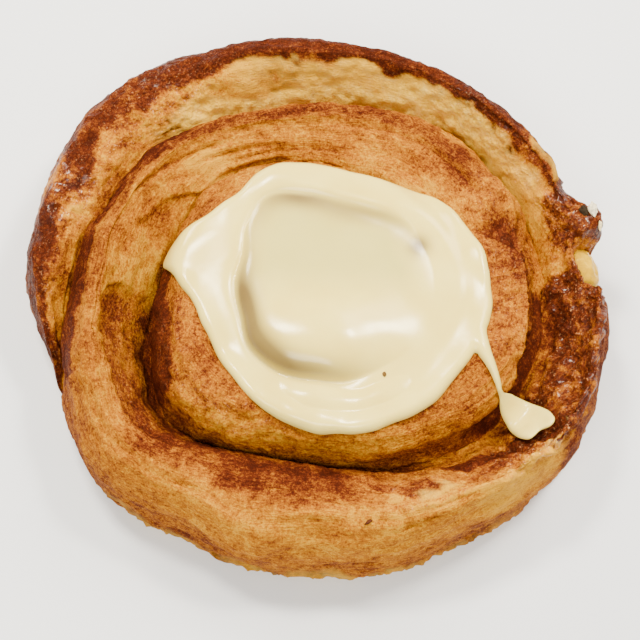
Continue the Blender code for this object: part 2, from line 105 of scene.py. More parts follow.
# %% [markdown]
# ## Helpers for shapes
# Every surface here is a table of points worked out by numpy as whole arrays. Three helpers are used
# throughout: a smooth curve through named keys, a smooth noise that repeats nowhere, and a function that
# turns arrays of points and corners into a Blender mesh.

# %% Curves, windows and noise
HASH_PRIMES = (73856093, 19349663, 83492791)
SEED_PRIME = 2654435761
MIXING_PRIME = 1274126177
NOISE_LEVELS = 65536
LATTICE_SHIFT = 200.0
LAYER_HEIGHT = 0.55


def curve(keys, at):
    """Smooth curve through (place, value) keys, with the neighbours' mean slope at each key."""
    place = np.array([k[0] for k in keys], float)
    value = np.array([k[1] for k in keys], float)
    slope = np.gradient(value, place)
    at = np.clip(at, place[0], place[-1])
    i = np.clip(np.searchsorted(place, at, side="right") - 1, 0, len(place) - 2)
    span = place[i + 1] - place[i]
    t = (at - place[i]) / span
    bend = span * (slope[i] * t * (1 - t) ** 2 - slope[i + 1] * t**2 * (1 - t))
    return value[i] + (value[i + 1] - value[i]) * t * t * (3 - 2 * t) + bend


def ring_curve(keys, degrees):
    """The same curve closed on itself, over 360 degrees."""
    wrapped = [(a - 360, v) for a, v in keys[-3:]] + list(keys) + [(a + 360, v) for a, v in keys[:3]]
    return curve(wrapped, np.mod(degrees, 360.0))


def hump(at, middle, width):
    """A bell of height 1: e to the minus square of the distance from its middle, in widths."""
    return np.exp(-(((at - middle) / width) ** 2))


def step(at, low, high):
    """0 below low, 1 above high, and 3t^2 - 2t^3 between them."""
    t = np.clip((at - low) / (high - low), 0, 1)
    return t * t * (3 - 2 * t)


def window(at, low, high, soft):
    """1 between low and high, falling to 0 over the soft width on each side."""
    return step(at, low - soft, low) * (1 - step(at, high, high + soft))


def noise(points, size, seed):
    """Smooth noise from -1 to 1: hashed values on a cubic lattice of that size, blended between corners."""
    p = np.asarray(points, float) / size + LATTICE_SHIFT
    cell = np.floor(p).astype(np.int64)
    f = p - cell
    f = f * f * (3 - 2 * f)
    total = np.zeros(p.shape[:-1])
    for corner in np.ndindex(2, 2, 2):
        x, y, z = np.moveaxis((cell + corner) * HASH_PRIMES, -1, 0)
        h = x ^ y ^ z ^ (seed * SEED_PRIME)
        h = ((h ^ (h >> 13)) * MIXING_PRIME) & 0x7FFFFFFF
        weight = np.prod(np.where(np.array(corner), f, 1 - f), axis=-1)
        total += weight * (h % NOISE_LEVELS / ((NOISE_LEVELS - 1) / 2) - 1)
    return total


def layered_noise(points, size, seed, layers):
    """Noise summed over layers, each half the size and LAYER_HEIGHT of the height of the one before."""
    return sum(LAYER_HEIGHT**k * noise(points, size / 2**k, seed + 7 * k) for k in range(layers))


# %% Arrays to meshes
def add_piece(name, points, polygons, body="root"):
    """A mesh object from points in millimetres and corner tables, one table for each corner count."""
    mesh = bpy.data.meshes.new(name)
    mesh.vertices.add(len(points))
    mesh.vertices.foreach_set("co", (np.asarray(points, float) * MM).ravel())
    corners = np.concatenate([p.ravel() for p in polygons])
    counts = np.concatenate([np.full(len(p), p.shape[1]) for p in polygons])
    mesh.loops.add(len(corners))
    mesh.loops.foreach_set("vertex_index", corners.astype(np.int32))
    mesh.polygons.add(len(counts))
    mesh.polygons.foreach_set("loop_start", (np.cumsum(counts) - counts).astype(np.int32))
    mesh.update(calc_edges=True)
    mesh.shade_smooth()
    piece = put_in_scene(name, mesh)
    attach(piece, body)
    return piece


def add_value(piece, name, values):
    """Stores one number for each vertex, for the material to read."""
    layer = piece.data.attributes.new(name, "FLOAT", "POINT")
    layer.data.foreach_set("value", np.asarray(values, np.float32).ravel())


def triangle_count(piece):
    """How many triangles the piece's polygons make."""
    return sum(len(p.vertices) - 2 for p in piece.data.polygons)


# %% [markdown]
# ## The strand's shape
# The whole coil is one surface of two parameters. *Turns* runs along the strand from the tail, low on the
# left, clockwise inwards. *Across* runs from the strand's outer edge (0) over its crest (0.5) to its inner
# groove (1). Each turn's outer edge is the groove of the turn outside it, so the surface closes on itself.
# The tables give radius and height in millimetres, and are the same as the solid's.

# %% The strand's tables
TAIL_ANGLE = 198.0
COIL_TURNS = 2.58
OUTLINE = (
    (0.0, 50.3), (0.025, 50.5), (0.05, 53.6), (0.078, 56.9), (0.1, 57.7), (0.14, 59.1), (0.18, 60.1),
    (0.22, 57.9), (0.26, 55.8), (0.3, 54.7), (0.33, 53.4), (0.36, 52.8), (0.44, 53.4), (0.5, 53.1),
    (0.58, 54.6), (0.63, 54.5), (0.67, 52.6), (0.72, 50.6), (0.8, 49.2), (0.86, 49.2), (0.883, 48.7),
    (0.911, 50.3), (0.94, 51.9), (0.97, 51.1), (1.0, 50.3),
)
GROOVE_RADIUS = (
    (0.0, 49.4), (0.05, 46.2), (0.1, 45.4), (0.14, 43.8), (0.18, 43.0), (0.22, 41.2), (0.3, 39.6),
    (0.38, 41.4), (0.44, 42.0), (0.5, 42.0), (0.6, 41.2), (0.66, 38.6), (0.7, 35.4), (0.76, 32.0),
    (0.8, 30.0), (0.86, 30.4), (0.92, 33.4), (0.96, 33.6), (1.0, 31.8), (1.06, 30.4), (1.12, 30.2),
    (1.18, 29.2), (1.24, 27.4), (1.34, 25.2), (1.46, 25.0), (1.58, 23.6), (1.66, 20.4), (1.8, 17.4),
    (1.93, 15.6), (2.05, 14.6), (2.16, 16.2), (2.3, 17.2), (2.46, 19.4), (2.58, 23.6),
)
GROOVE_HEIGHT = (
    (0.0, 0.0), (0.03, 7.0), (0.08, 13.0), (0.14, 15.0), (0.2, 14.0), (0.3, 10.5), (0.42, 11.5),
    (0.52, 14.0), (0.62, 13.0), (0.72, 11.5), (0.84, 9.5), (0.96, 7.0), (1.07, 5.5), (1.12, 9.0),
    (1.18, 17.0), (1.3, 19.5), (1.5, 21.0), (1.7, 21.0), (1.9, 20.0), (2.1, 20.0), (2.3, 21.0),
    (2.58, 21.0),
)
CREST_HEIGHT = (
    (0.0, 0.0), (0.02, 8.0), (0.05, 14.5), (0.1, 18.5), (0.16, 21.0), (0.24, 24.0), (0.32, 25.0),
    (0.44, 24.0), (0.56, 23.5), (0.64, 23.5), (0.74, 22.0), (0.86, 20.5), (0.96, 21.0), (1.06, 22.0),
    (1.16, 22.5), (1.3, 24.0), (1.44, 24.0), (1.6, 24.5), (1.78, 25.0), (2.05, 25.0), (2.3, 25.0),
    (2.46, 24.0), (2.58, 21.0),
)
CREST_PLACE = (
    (0.0, 0.5), (0.1, 0.42), (0.2, 0.42), (0.3, 0.44), (0.44, 0.46), (0.54, 0.3), (0.64, 0.24),
    (0.72, 0.36), (0.8, 0.52), (0.88, 0.46), (0.96, 0.46), (1.06, 0.42), (1.16, 0.36), (1.3, 0.38),
    (1.44, 0.34), (1.6, 0.45), (1.8, 0.55), (2.05, 0.55), (2.58, 0.5),
)
OUTER_SHOULDER = ((0.0, 2.2), (0.5, 2.5), (0.8, 2.3), (1.06, 2.0), (1.3, 2.2), (1.8, 2.4), (2.58, 2.2))
INNER_SHOULDER = (
    (0.0, 1.6), (0.14, 1.8), (0.3, 1.5), (0.42, 1.3), (0.5, 1.15), (0.56, 0.9), (0.66, 0.95), (0.74, 1.5),
    (0.84, 2.1), (0.94, 1.5), (1.02, 1.15), (1.12, 1.1), (1.2, 1.2), (1.3, 1.3), (1.44, 1.4), (1.7, 2.0),
    (2.58, 2.0),
)
FOOT_INSET = 2.2
FOOT_HEIGHT = 5.0
DOME_HEIGHT = 23.6
MEAN_RADIUS = 38.0
# size and rise of the dough's large lumps
LUMPS = ((14.0, 0.8), (6.5, 0.45), (3.4, 0.22))
LUMP_SEED = 11
# crags: place along, place across, reach along, reach across, rise
CRAGS = (
    (0.03, 0.34, 0.012, 0.1, 2.2), (0.075, 0.62, 0.02, 0.08, 0.9), (0.105, 0.3, 0.014, 0.1, -0.9),
    (0.15, 0.46, 0.02, 0.07, 0.9), (0.2, 0.36, 0.03, 0.06, 0.7), (0.27, 0.52, 0.035, 0.05, 0.6),
    (0.415, 0.5, 0.016, 0.09, 0.9), (0.455, 0.6, 0.014, 0.07, -0.8), (0.585, 0.66, 0.03, 0.1, -1.3),
    (0.64, 0.5, 0.018, 0.08, 0.8), (0.7, 0.62, 0.016, 0.07, 1.0), (0.745, 0.66, 0.018, 0.06, 0.9),
    (0.84, 0.3, 0.03, 0.06, 0.7), (0.905, 0.42, 0.02, 0.08, -0.7), (1.03, 0.72, 0.03, 0.1, -1.0),
    (1.085, 0.62, 0.02, 0.08, 0.8), (1.47, 0.28, 0.014, 0.12, 1.0), (1.52, 0.2, 0.014, 0.1, -0.9),
    (1.76, 0.34, 0.03, 0.08, 0.7), (2.06, 0.36, 0.025, 0.1, 0.7),
)
BURST_PLACE = 0.53
BURST_WIDTH = 0.0122
BURST_DRAWN_IN = 2.2
BURST_FLOOR = 6.0
BURST_REACH = (0.55, 0.65)
LOBE_PLACE = 0.5045
LOBE_WIDTH = 0.013
LOBE_ACROSS = (0.34, 0.16)
LOBE_RISE = 3.4
print("strand length about", round(COIL_TURNS * 2 * math.pi * MEAN_RADIUS), "mm")


# %% The strand's section
def strand_section(turns, across):
    """Radius and height: from the crest, cos^p out to the edge and sin^p up from it, p = 2 / squareness."""
    outer_radius = np.where(turns < 1, curve(OUTLINE, turns), curve(GROOVE_RADIUS, turns - 1))
    burst = np.exp(-(((turns - BURST_PLACE) / BURST_WIDTH) ** 4))
    outer_radius = outer_radius - BURST_DRAWN_IN * burst
    outer_height = np.where(turns < 1, 0.0, curve(GROOVE_HEIGHT, turns - 1))
    inner_radius = curve(GROOVE_RADIUS, turns)
    inner_height = curve(GROOVE_HEIGHT, turns)
    crest_radius = outer_radius + (inner_radius - outer_radius) * curve(CREST_PLACE, turns)
    crest_height = curve(CREST_HEIGHT, turns)
    outside = across < 0.5
    swing = np.where(outside, across, 1 - across) * math.pi
    power = 2 / np.where(outside, curve(OUTER_SHOULDER, turns), curve(INNER_SHOULDER, turns))
    out = np.clip(np.cos(swing), 0, 1) ** power
    up = np.clip(np.sin(swing), 0, 1) ** power
    edge_radius = np.where(outside, outer_radius, inner_radius)
    edge_height = np.where(outside, outer_height, inner_height)
    radius = crest_radius + (edge_radius - crest_radius) * out
    radius = radius + LOBE_RISE * hump(turns, LOBE_PLACE, LOBE_WIDTH) * hump(across, *LOBE_ACROSS)
    height = edge_height + (crest_height - edge_height) * up
    for place, at, reach, width, rise in CRAGS:
        height = height + rise * hump(turns, place, reach) * hump(across, at, width) * np.clip(height, 0, 1)
    sunk = burst * np.clip((BURST_REACH[1] - across) / (BURST_REACH[1] - BURST_REACH[0]), 0, 1)
    height = height * (1 - sunk) + np.minimum(height, BURST_FLOOR) * sunk
    radius = radius - FOOT_INSET * (1 - np.clip(height / FOOT_HEIGHT, 0, 1)) ** 2
    return radius, height


def to_space(turns, radius, height):
    """Points in millimetres round the coil's middle, with the large lumps added above the flat base."""
    angle = np.radians(TAIL_ANGLE - 360 * turns)
    points = np.stack([radius * np.cos(angle), radius * np.sin(angle), height + 0 * angle], -1)
    raised = np.clip(height / FOOT_HEIGHT, 0, 1)[..., None]
    for n, (size, rise) in enumerate(LUMPS):
        push = [noise(points, size, LUMP_SEED + 3 * n + axis) for axis in range(3)]
        points = points + rise * raised * np.stack(push, -1)
    return points + np.array([*COIL_CENTRE, 0.0])


# %% [markdown]
# ## The grid over the strand
# The grid has 552 columns to a turn, closer together at the burst, and 66 steps across the strand. That is
# a point about every 0.6 mm, fine enough to carry blisters, creases and torn layers as real shape.

# %% Grid over the strand
COLUMNS_PER_TURN = 552
ROWS = 66
BURST_CROWDING = 1.6
CROWDED_WIDTH = 1.6 * BURST_WIDTH
CROWD_SAMPLES = 4001
STRAND_GIRTH = 46.0


def column_places(per_turn, columns):
    """Where the columns lie, the same in every turn: spaced by the inverse of a crowding curve's sum."""
    fine = np.linspace(0, 1, CROWD_SAMPLES)
    crowd = 1 + BURST_CROWDING * hump(fine, BURST_PLACE, CROWDED_WIDTH)
    total = np.concatenate([[0], np.cumsum((crowd[1:] + crowd[:-1]) / 2)])
    one_turn = np.interp(np.arange(per_turn) / per_turn, total / total[-1], fine)
    i = np.arange(columns + 1)
    return one_turn[i % per_turn] + i // per_turn


columns = round(COIL_TURNS * COLUMNS_PER_TURN)
turns = column_places(COLUMNS_PER_TURN, columns)[:, None]
across = np.linspace(0, 1, ROWS + 1)[None, :]
radius, height = strand_section(turns, across)
strand = to_space(turns, radius, height)
column_gaps = np.diff(turns[:, 0]) * 2 * math.pi * radius[1:, ROWS // 2]
along_mm = np.concatenate([[0], np.cumsum(column_gaps)])[:, None]
across_mm = across * STRAND_GIRTH
surface_place = np.stack([along_mm + 0 * across, across_mm + 0 * along_mm, 0 * turns * across], -1)
print("strand grid", strand.shape, "along", round(float(along_mm[-1, 0])), "mm")

# %% [markdown]
# ## How the crust is baked
# Baking colours the dough by where heat and egg wash reach it: the crests of the outer turn are dark, the
# sides that faced a neighbour stay golden, and the steep inner wall at the back is still pale. Each of
# these is a soft window in turns and across, written down with the amount by which it darkens the dough.
# Two of the windows paint shadow into the deep gap on the left.

# %% Where it is browned
BASE_BROWNING = 0.34
STIR_SIZE = 7.0
STIR_ALONG = 0.0075
STIR_ACROSS = 0.05
MORE_STIR_LEFT = 0.02
MOTTLE = 0.12
MORE_MOTTLE_LEFT = 0.24
FURROW_PAINTED_SHADE = 0.14
# from turns, to turns, softness, from across, to across, softness, change of browning
BROWNING = (
    # the tail and the left
    (-0.05, 0.235, 0.03, 0.2, 0.54, 0.1, 0.3), (-0.02, 0.1, 0.02, 0.1, 0.5, 0.06, 0.22),
    (-0.03, 0.08, 0.02, 0.52, 0.74, 0.08, 0.2), (0.095, 0.145, 0.01, 0.38, 0.58, 0.05, 0.26),
    (0.08, 0.115, 0.01, 0.7, 0.86, 0.05, -0.26),
    # the back crest and its inner wall
    (0.225, 0.47, 0.03, 0.27, 0.56, 0.06, 0.56), (0.27, 0.36, 0.02, 0.3, 0.52, 0.05, 0.32),
    (0.225, 0.47, 0.03, 0.1, 0.27, 0.06, 0.18), (0.15, 0.25, 0.03, 0.38, 0.58, 0.1, 0.16),
    (0.04, 0.2, 0.03, 0.55, 0.86, 0.12, 0.1), (0.2, 0.47, 0.04, 0.62, 0.96, 0.05, -0.3),
    (0.4, 0.48, 0.02, 0.52, 0.66, 0.04, 0.14), (0.4, 0.46, 0.02, 0.72, 0.96, 0.05, -0.16),
    (0.41, 0.445, 0.01, 0.58, 0.7, 0.04, 0.26), (0.445, 0.475, 0.01, 0.4, 0.56, 0.04, -0.2),
    (0.47, 0.5, 0.008, 0.74, 0.9, 0.05, -0.2),
    # the lobe, the burst and the wet slope on the right
    (0.484, 0.516, 0.006, 0.2, 0.76, 0.04, 0.4), (0.452, 0.482, 0.008, 0.4, 0.56, 0.04, -0.14),
    (0.538, 0.64, 0.008, 0.15, 0.8, 0.04, 0.36), (0.6, 0.645, 0.01, 0.42, 0.62, 0.05, 0.14),
    (0.545, 0.6, 0.012, 0.44, 0.64, 0.05, 0.06), (0.55, 0.64, 0.012, 0.8, 1.0, 0.05, 0.3),
    (0.536, 0.566, 0.006, 0.66, 0.86, 0.05, 0.28), (1.56, 1.65, 0.015, -0.1, 0.14, 0.05, 0.4),
    # the torn layers at the front right
    (0.616, 0.628, 0.005, 0.38, 0.56, 0.03, 0.26), (0.626, 0.646, 0.005, 0.5, 0.74, 0.03, 0.36),
    (0.644, 0.668, 0.005, 0.7, 0.8, 0.025, 0.4), (0.664, 0.7, 0.006, 0.74, 0.84, 0.02, 0.46),
    (0.655, 0.715, 0.01, 0.66, 0.8, 0.03, 0.14), (0.7, 0.745, 0.01, 0.47, 0.8, 0.05, -0.24),
    (0.628, 0.646, 0.005, 0.3, 0.46, 0.025, -0.22), (0.644, 0.672, 0.005, 0.4, 0.6, 0.03, -0.24),
    (0.645, 0.7, 0.01, 0.18, 0.5, 0.06, -0.14), (0.68, 0.96, 0.03, 0.16, 0.44, 0.08, -0.08),
    (0.72, 0.755, 0.006, 0.64, 0.69, 0.02, 0.4),
    # the front crest and the groove behind it
    (0.77, 0.93, 0.02, 0.54, 0.74, 0.06, 0.24), (0.785, 0.9, 0.02, 0.6, 0.8, 0.04, 0.2),
    (0.7, 0.98, 0.04, -0.05, 0.17, 0.05, 0.16), (0.73, 0.92, 0.03, 0.74, 1.0, 0.08, 0.24),
    # the second row here, 0.96 to 1.105 turns, paints shadow into the deep gap on the left
    (0.8, 0.93, 0.03, 0.86, 1.0, 0.08, 0.14), (0.96, 1.105, 0.015, 0.9, 1.0, 0.03, 0.5),
    (0.925, 1.05, 0.01, 0.655, 0.9, 0.02, 0.14), (1.055, 1.085, 0.008, 0.56, 0.8, 0.04, -0.22),
    (0.94, 1.05, 0.02, 0.06, 0.26, 0.06, 0.1),
    # the second turn, on the left and at the back
    (1.01, 1.2, 0.025, 0.12, 0.295, 0.05, 0.44), (1.02, 1.1, 0.02, 0.3, 0.54, 0.08, 0.12),
    (1.115, 1.175, 0.012, 0.24, 0.44, 0.05, 0.34), (1.2, 1.42, 0.04, 0.12, 0.42, 0.08, 0.1),
    (1.41, 1.5, 0.03, 0.42, 0.62, 0.1, 0.1), (1.19, 1.24, 0.015, 0.66, 0.98, 0.06, -0.2),
    (1.35, 1.42, 0.02, 0.72, 0.92, 0.05, -0.22), (1.18, 1.42, 0.04, 0.36, 0.5, 0.05, 0.22),
    (1.09, 1.2, 0.02, 0.7, 1.0, 0.03, -0.1),
    # the second turn, on the right and at the front
    (1.485, 1.525, 0.01, 0.46, 0.62, 0.05, 0.1), (1.505, 1.54, 0.01, 0.32, 0.44, 0.04, 0.14),
    (1.52, 2.14, 0.04, 0.1, 0.75, 0.15, 0.1), (1.58, 2.1, 0.04, -0.1, 0.1, 0.07, 0.18),
    # the second row here, 1.965 to 2.11 turns, paints shadow on the mound's side of the gap on the left
    (1.7, 1.88, 0.04, 0.1, 0.3, 0.05, -0.14), (1.965, 2.11, 0.015, -0.1, 0.26, 0.04, 0.62),
    (1.9, 1.95, 0.015, 0.08, 0.3, 0.05, -0.1),
)
# furrows: the line's (turns, across) keys, half width in across, depth in millimetres
FURROWS = (
    (((1.125, 0.52), (1.16, 0.6), (1.2, 0.645), (1.245, 0.66)), 0.016, 0.75),
    (((1.15, 0.69), (1.19, 0.735), (1.24, 0.745), (1.29, 0.73)), 0.014, 0.65),
    (((1.2, 0.81), (1.28, 0.795), (1.36, 0.78)), 0.01, 0.45),
    (((1.3, 0.62), (1.38, 0.58), (1.46, 0.59)), 0.007, 0.35),
    (((1.05, 0.5), (1.1, 0.535), (1.15, 0.545)), 0.012, 0.55),
    (((0.16, 0.79), (0.18, 0.84), (0.205, 0.86)), 0.009, 0.8),
    (((0.24, 0.74), (0.33, 0.79), (0.4, 0.8)), 0.012, 0.6),
    (((0.28, 0.87), (0.33, 0.89), (0.38, 0.88)), 0.012, 0.5),
    (((0.6, 0.42), (0.67, 0.43), (0.745, 0.47)), 0.01, 0.55),
    (((0.62, 0.33), (0.7, 0.37), (0.77, 0.37)), 0.008, 0.4),
    (((0.7, 0.17), (0.8, 0.14), (0.9, 0.15)), 0.007, 0.3),
    (((0.73, 0.08), (0.85, 0.1), (0.96, 0.09)), 0.007, 0.45),
    (((0.8, 0.56), (0.86, 0.59), (0.93, 0.61)), 0.007, 0.35),
    (((1.6, 0.3), (1.7, 0.29), (1.8, 0.26)), 0.009, 0.3),
    (((1.84, 0.3), (1.93, 0.34), (2.04, 0.33)), 0.009, 0.3),
)
FURROW_SWAY = 0.012
FURROW_NOISE, GAP_NOISE = 9.0, 6.0
FURROW_SEED, GAP_SEED = 140, 160
FURROW_FADE = 0.12


def patches(table):
    """Sum of the table's soft windows: the amount times the window along times the window across."""
    total = 0.0
    for low, high, soft, from_across, to_across, soft_across, amount in table:
        patch = window(stirred_turns, low, high, soft)
        patch = patch * window(stirred_across, from_across, to_across, soft_across)
        total = total + amount * patch
    return total


def wandering_line(keys, sway, size, seed, fade):
    """The line's place across, swayed by noise, and a share that fades over that part of it at both ends."""
    place = curve(keys, turns) + sway * layered_noise(surface_place, size, seed, 3)
    start, end = keys[0][0], keys[-1][0]
    soft = fade * (end - start)
    return place, window(turns, start + soft, end - soft, soft)


def furrows():
    """Sum of bells across each furrow's line, broken up along it by noise."""
    depth, mask = 0.0, 0.0
    for number, (keys, width, deep) in enumerate(FURROWS):
        line, ends = wandering_line(keys, FURROW_SWAY, FURROW_NOISE, FURROW_SEED + number, FURROW_FADE)
        broken = step(noise(surface_place, GAP_NOISE, GAP_SEED + number), -0.5, 0.3)
        bell = hump(across, line, width) * ends * broken
        depth = depth + deep * bell
        mask = np.maximum(mask, bell)
    return depth, mask


furrow_depth, furrow_mask = furrows()
# the windows are read at stirred places, so that their edges wander as browning does
stirred_turns = turns + STIR_ALONG * layered_noise(strand, STIR_SIZE, 43, 4)
stir_across = STIR_ACROSS + MORE_STIR_LEFT * window(turns, -0.1, 0.45, 0.05)
stirred_across = across + stir_across * layered_noise(strand, STIR_SIZE, 41, 4)
mottle = MOTTLE + MORE_MOTTLE_LEFT * window(turns, -0.1, 0.3, 0.05) * window(across, 0.15, 0.9, 0.1)
browning = BASE_BROWNING + patches(BROWNING) + mottle * layered_noise(strand, STIR_SIZE, 21, 5)
# painted shade: the crust is darkened along the furrows' lines
browning = browning + FURROW_PAINTED_SHADE * furrow_mask
print("browning from", round(float(browning.min()), 2), "to", round(float(browning.max()), 2))

# %% [markdown]
# ## Where it is pale, wet or fibrous
# Three more masks go with the browning. The pale one marks the raw-looking inner wall at the back and the
# torn flap at the tail. The wet one marks where syrup and egg wash shine. The fibre one says where the
# dough was stretched, so that its layers show as fine lines along the strand.

# %% Pale, wet and fibrous masks
# columns as in BROWNING
PALE = (
    (0.22, 0.4, 0.05, 0.8, 1.0, 0.09, 0.9), (0.27, 0.4, 0.03, 0.6, 0.8, 0.06, 0.45),
    (0.36, 0.46, 0.02, 0.66, 0.94, 0.06, 0.5), (0.016, 0.03, 0.004, 0.36, 0.56, 0.04, 0.4),
    (0.452, 0.48, 0.006, 0.38, 0.46, 0.03, 0.5), (0.646, 0.662, 0.004, 0.5, 0.57, 0.02, 0.5),
    (0.64, 0.69, 0.008, 0.22, 0.48, 0.06, 0.1), (0.712, 0.734, 0.004, 0.6, 0.66, 0.02, 0.4),
    (0.7, 0.97, 0.03, 0.0, 0.075, 0.025, 0.4), (0.655, 0.69, 0.008, 0.745, 0.775, 0.012, 0.5),
)
WET = (
    (-0.05, 0.12, 0.03, 0.1, 0.66, 0.06, 0.75), (0.12, 0.22, 0.03, 0.2, 0.8, 0.1, 0.6),
    (0.2, 0.45, 0.03, 0.15, 0.8, 0.08, 0.25), (0.4, 0.48, 0.02, 0.5, 0.8, 0.06, 0.6),
    (0.482, 0.518, 0.01, 0.16, 0.8, 0.05, 1.0), (0.535, 0.66, 0.02, 0.38, 0.84, 0.05, 1.0),
    (0.65, 0.74, 0.02, 0.5, 0.75, 0.05, 0.45), (1.46, 1.6, 0.03, 0.1, 0.6, 0.1, 0.4),
    (1.84, 2.02, 0.03, 0.1, 0.4, 0.08, 0.45), (0.95, 1.06, 0.02, 0.66, 0.92, 0.05, 0.35),
)
FIBRES_HIDDEN_BY_WET = 0.8
FEWEST_FIBRES = 0.15
pale = np.clip(patches(PALE), 0, 1)
wet = np.clip(patches(WET), 0, 1)
fibrous = np.clip(1.0 - wet * FIBRES_HIDDEN_BY_WET, FEWEST_FIBRES, 1) * window(across, 0.06, 0.94, 0.05)
print("share pale", round(float(pale.mean()), 3), "wet", round(float(wet.mean()), 3))

# %% [markdown]
# ## Relief of the crust
# Real crust isn't smooth at any size. Blisters and dimples come from steam, ledges from layers that slid
# over each other, long ribs from the rolled dough, and wrinkles from syrup drying on the right side. Each
# is one term, in millimetres, added along the surface's own normal.

# %% Relief in millimetres
ROUGH_RISE, ROUGH_LOST_ON_WALL = 0.32, 0.14
RIB_RISE = 0.2
SHEET_RISE = 0.16
BLISTER_RISE, WET_BLISTER_RISE, BLISTER_MEAN = 0.14, 0.55, 0.3
DIMPLE_RISE, PALE_DIMPLE_RISE = 0.14, 0.3
CRACKLE_DEPTH, CRACKLE_MEAN = 0.42, 0.25
WRINKLE_RISE = 0.7
SCALLOP_RISE = 0.6
WALL_DRAWN_IN = 0.3
BLISTERS_LOST_ON_WALL = 0.5
LEDGE_BROWNING = 0.12
RELIEF_PAINTED_SHADE = 0.12
CRACKLE_BROWNING = 0.4
WET_MOTTLE = 0.22
# layer edges: the line's (turns, across) keys, and how far the surface falls beyond it (minus: before it)
LEDGES = (
    (((0.925, 0.655), (0.98, 0.645), (1.02, 0.635), (1.045, 0.6), (1.062, 0.66), (1.075, 0.8)), 0.9),
    (((1.11, 0.66), (1.13, 0.69), (1.147, 0.75), (1.167, 0.84), (1.185, 0.93), (1.2, 0.97)), 0.8),
    (((1.19, 0.9), (1.22, 0.88), (1.27, 0.87)), 0.6),
    (((0.62, 0.49), (0.68, 0.5), (0.74, 0.53)), 0.5),
    (((1.48, 0.7), (1.494, 0.66), (1.505, 0.56), (1.517, 0.42), (1.535, 0.36), (1.555, 0.335), (1.59, 0.275),
      (1.62, 0.19), (1.68, 0.15)), -1.5),
    (((0.476, 0.7), (0.486, 0.62), (0.493, 0.5), (0.5, 0.4)), -0.7),
)
LEDGE_SWAY = 0.014
LEDGE_NOISE, LEDGE_SEED = 8.0, 87
LEDGE_FADE = 0.1
LEDGE_WIDTH = 0.009
LEDGE_MARK = 0.014
WRINKLES_TURNED = np.array([[0.85, -0.5, 0], [0.5, 0.35, 0], [0, 0, 1.0]])


def ledges():
    """Sum over the layer edges: a smooth step of the given fall, faded out at the line's ends."""
    fall, mask = 0.0, 0.0
    for number, (keys, drop) in enumerate(LEDGES):
        line, ends = wandering_line(keys, LEDGE_SWAY, LEDGE_NOISE, LEDGE_SEED + number, LEDGE_FADE)
        over = step(across, line - LEDGE_WIDTH, line + LEDGE_WIDTH)
        beyond = over * step(across, 1.0, 0.9) if drop > 0 else (1 - over) * step(across, 0.0, 0.08)
        fall = fall + abs(drop) * ends * beyond
        mask = np.maximum(mask, ends * hump(across, line, LEDGE_MARK))
    return fall, mask


def terraces(field, sharpness):
    """A stair of the field: whole steps joined by ramps as narrow as 1 / sharpness of a step."""
    whole = np.floor(field)
    return whole + step(field - whole, 1 - 1 / sharpness, 1)


def stretched(along, size, seed, layers):
    """Layered noise drawn out along the strand by that factor."""
    return layered_noise(surface_place * np.array([1 / along, 1.0, 1.0]), size, seed, layers)


outer_turn = 1 - step(turns, 0.95, 1.02)
outer_wall = outer_turn * (1 - step(across, 0.3, 0.42))
ribs = stretched(9.0, 1.7, 61, 3)
sheets = terraces(2.2 * stretched(9.0, 5.0, 71, 2), 5.0)
blisters = np.abs(layered_noise(strand, 2.4, 31, 3))
dimples = layered_noise(strand, 1.3, 33, 2)
wrinkles = layered_noise(surface_place @ WRINKLES_TURNED.T, 2.6, 35, 3)
rough = layered_noise(strand, 4.5, 37, 4)
scallops = window(turns, 1.08, 1.46, 0.04) * window(across, 0.34, 0.52, 0.04) * np.abs(noise(strand, 3.4, 39))
slope = window(turns, 0.535, 0.67, 0.02) * window(across, 0.35, 0.95, 0.06)
crackle = np.abs(layered_noise(strand, 1.6, 45, 2))
ledge_fall, ledge_mask = ledges()

relief = (ROUGH_RISE - ROUGH_LOST_ON_WALL * outer_wall) * rough
relief = relief + fibrous * (RIB_RISE * ribs + SHEET_RISE * sheets)
blister_rise = (BLISTER_RISE + WET_BLISTER_RISE * wet) * (1 - BLISTERS_LOST_ON_WALL * outer_wall)
relief = relief + blister_rise * (BLISTER_MEAN - blisters)
relief = relief + (DIMPLE_RISE + PALE_DIMPLE_RISE * pale) * dimples
relief = relief + CRACKLE_DEPTH * wet * (CRACKLE_MEAN - crackle)
relief = relief + WRINKLE_RISE * wrinkles * slope + SCALLOP_RISE * scallops
relief = relief - furrow_depth - ledge_fall - WALL_DRAWN_IN * outer_wall
# painted shade and light on the relief: the crust is darker where the relief is low, lighter where high
browning = browning + LEDGE_BROWNING * ledge_mask - RELIEF_PAINTED_SHADE * (relief - relief.mean())
browning = browning + CRACKLE_BROWNING * wet * (crackle - CRACKLE_MEAN)
browning = browning + WET_MOTTLE * wet * layered_noise(strand, 3.0, 47, 3)
print("relief from", round(float(relief.min()), 2), "to", round(float(relief.max()), 2), "mm")


# %% The dough's surface
RELIEF_FULL_ABOVE = 3.0
TAIL_FADE = 0.02
END_FADE = 0.05
BOX_MARGIN = 0.05
FOOT_RIPPLE = 0.7
RIPPLE_FULL_ABOVE = 0.6
coil_heart = np.array([*COIL_CENTRE, 8.0])


def grid_normals(points):
    """Unit normals of a grid: the cross product of its two central differences."""
    normal = np.cross(np.gradient(points, axis=1), np.gradient(points, axis=0))
    return normal / np.maximum(np.linalg.norm(normal, axis=-1, keepdims=True), 1e-9)


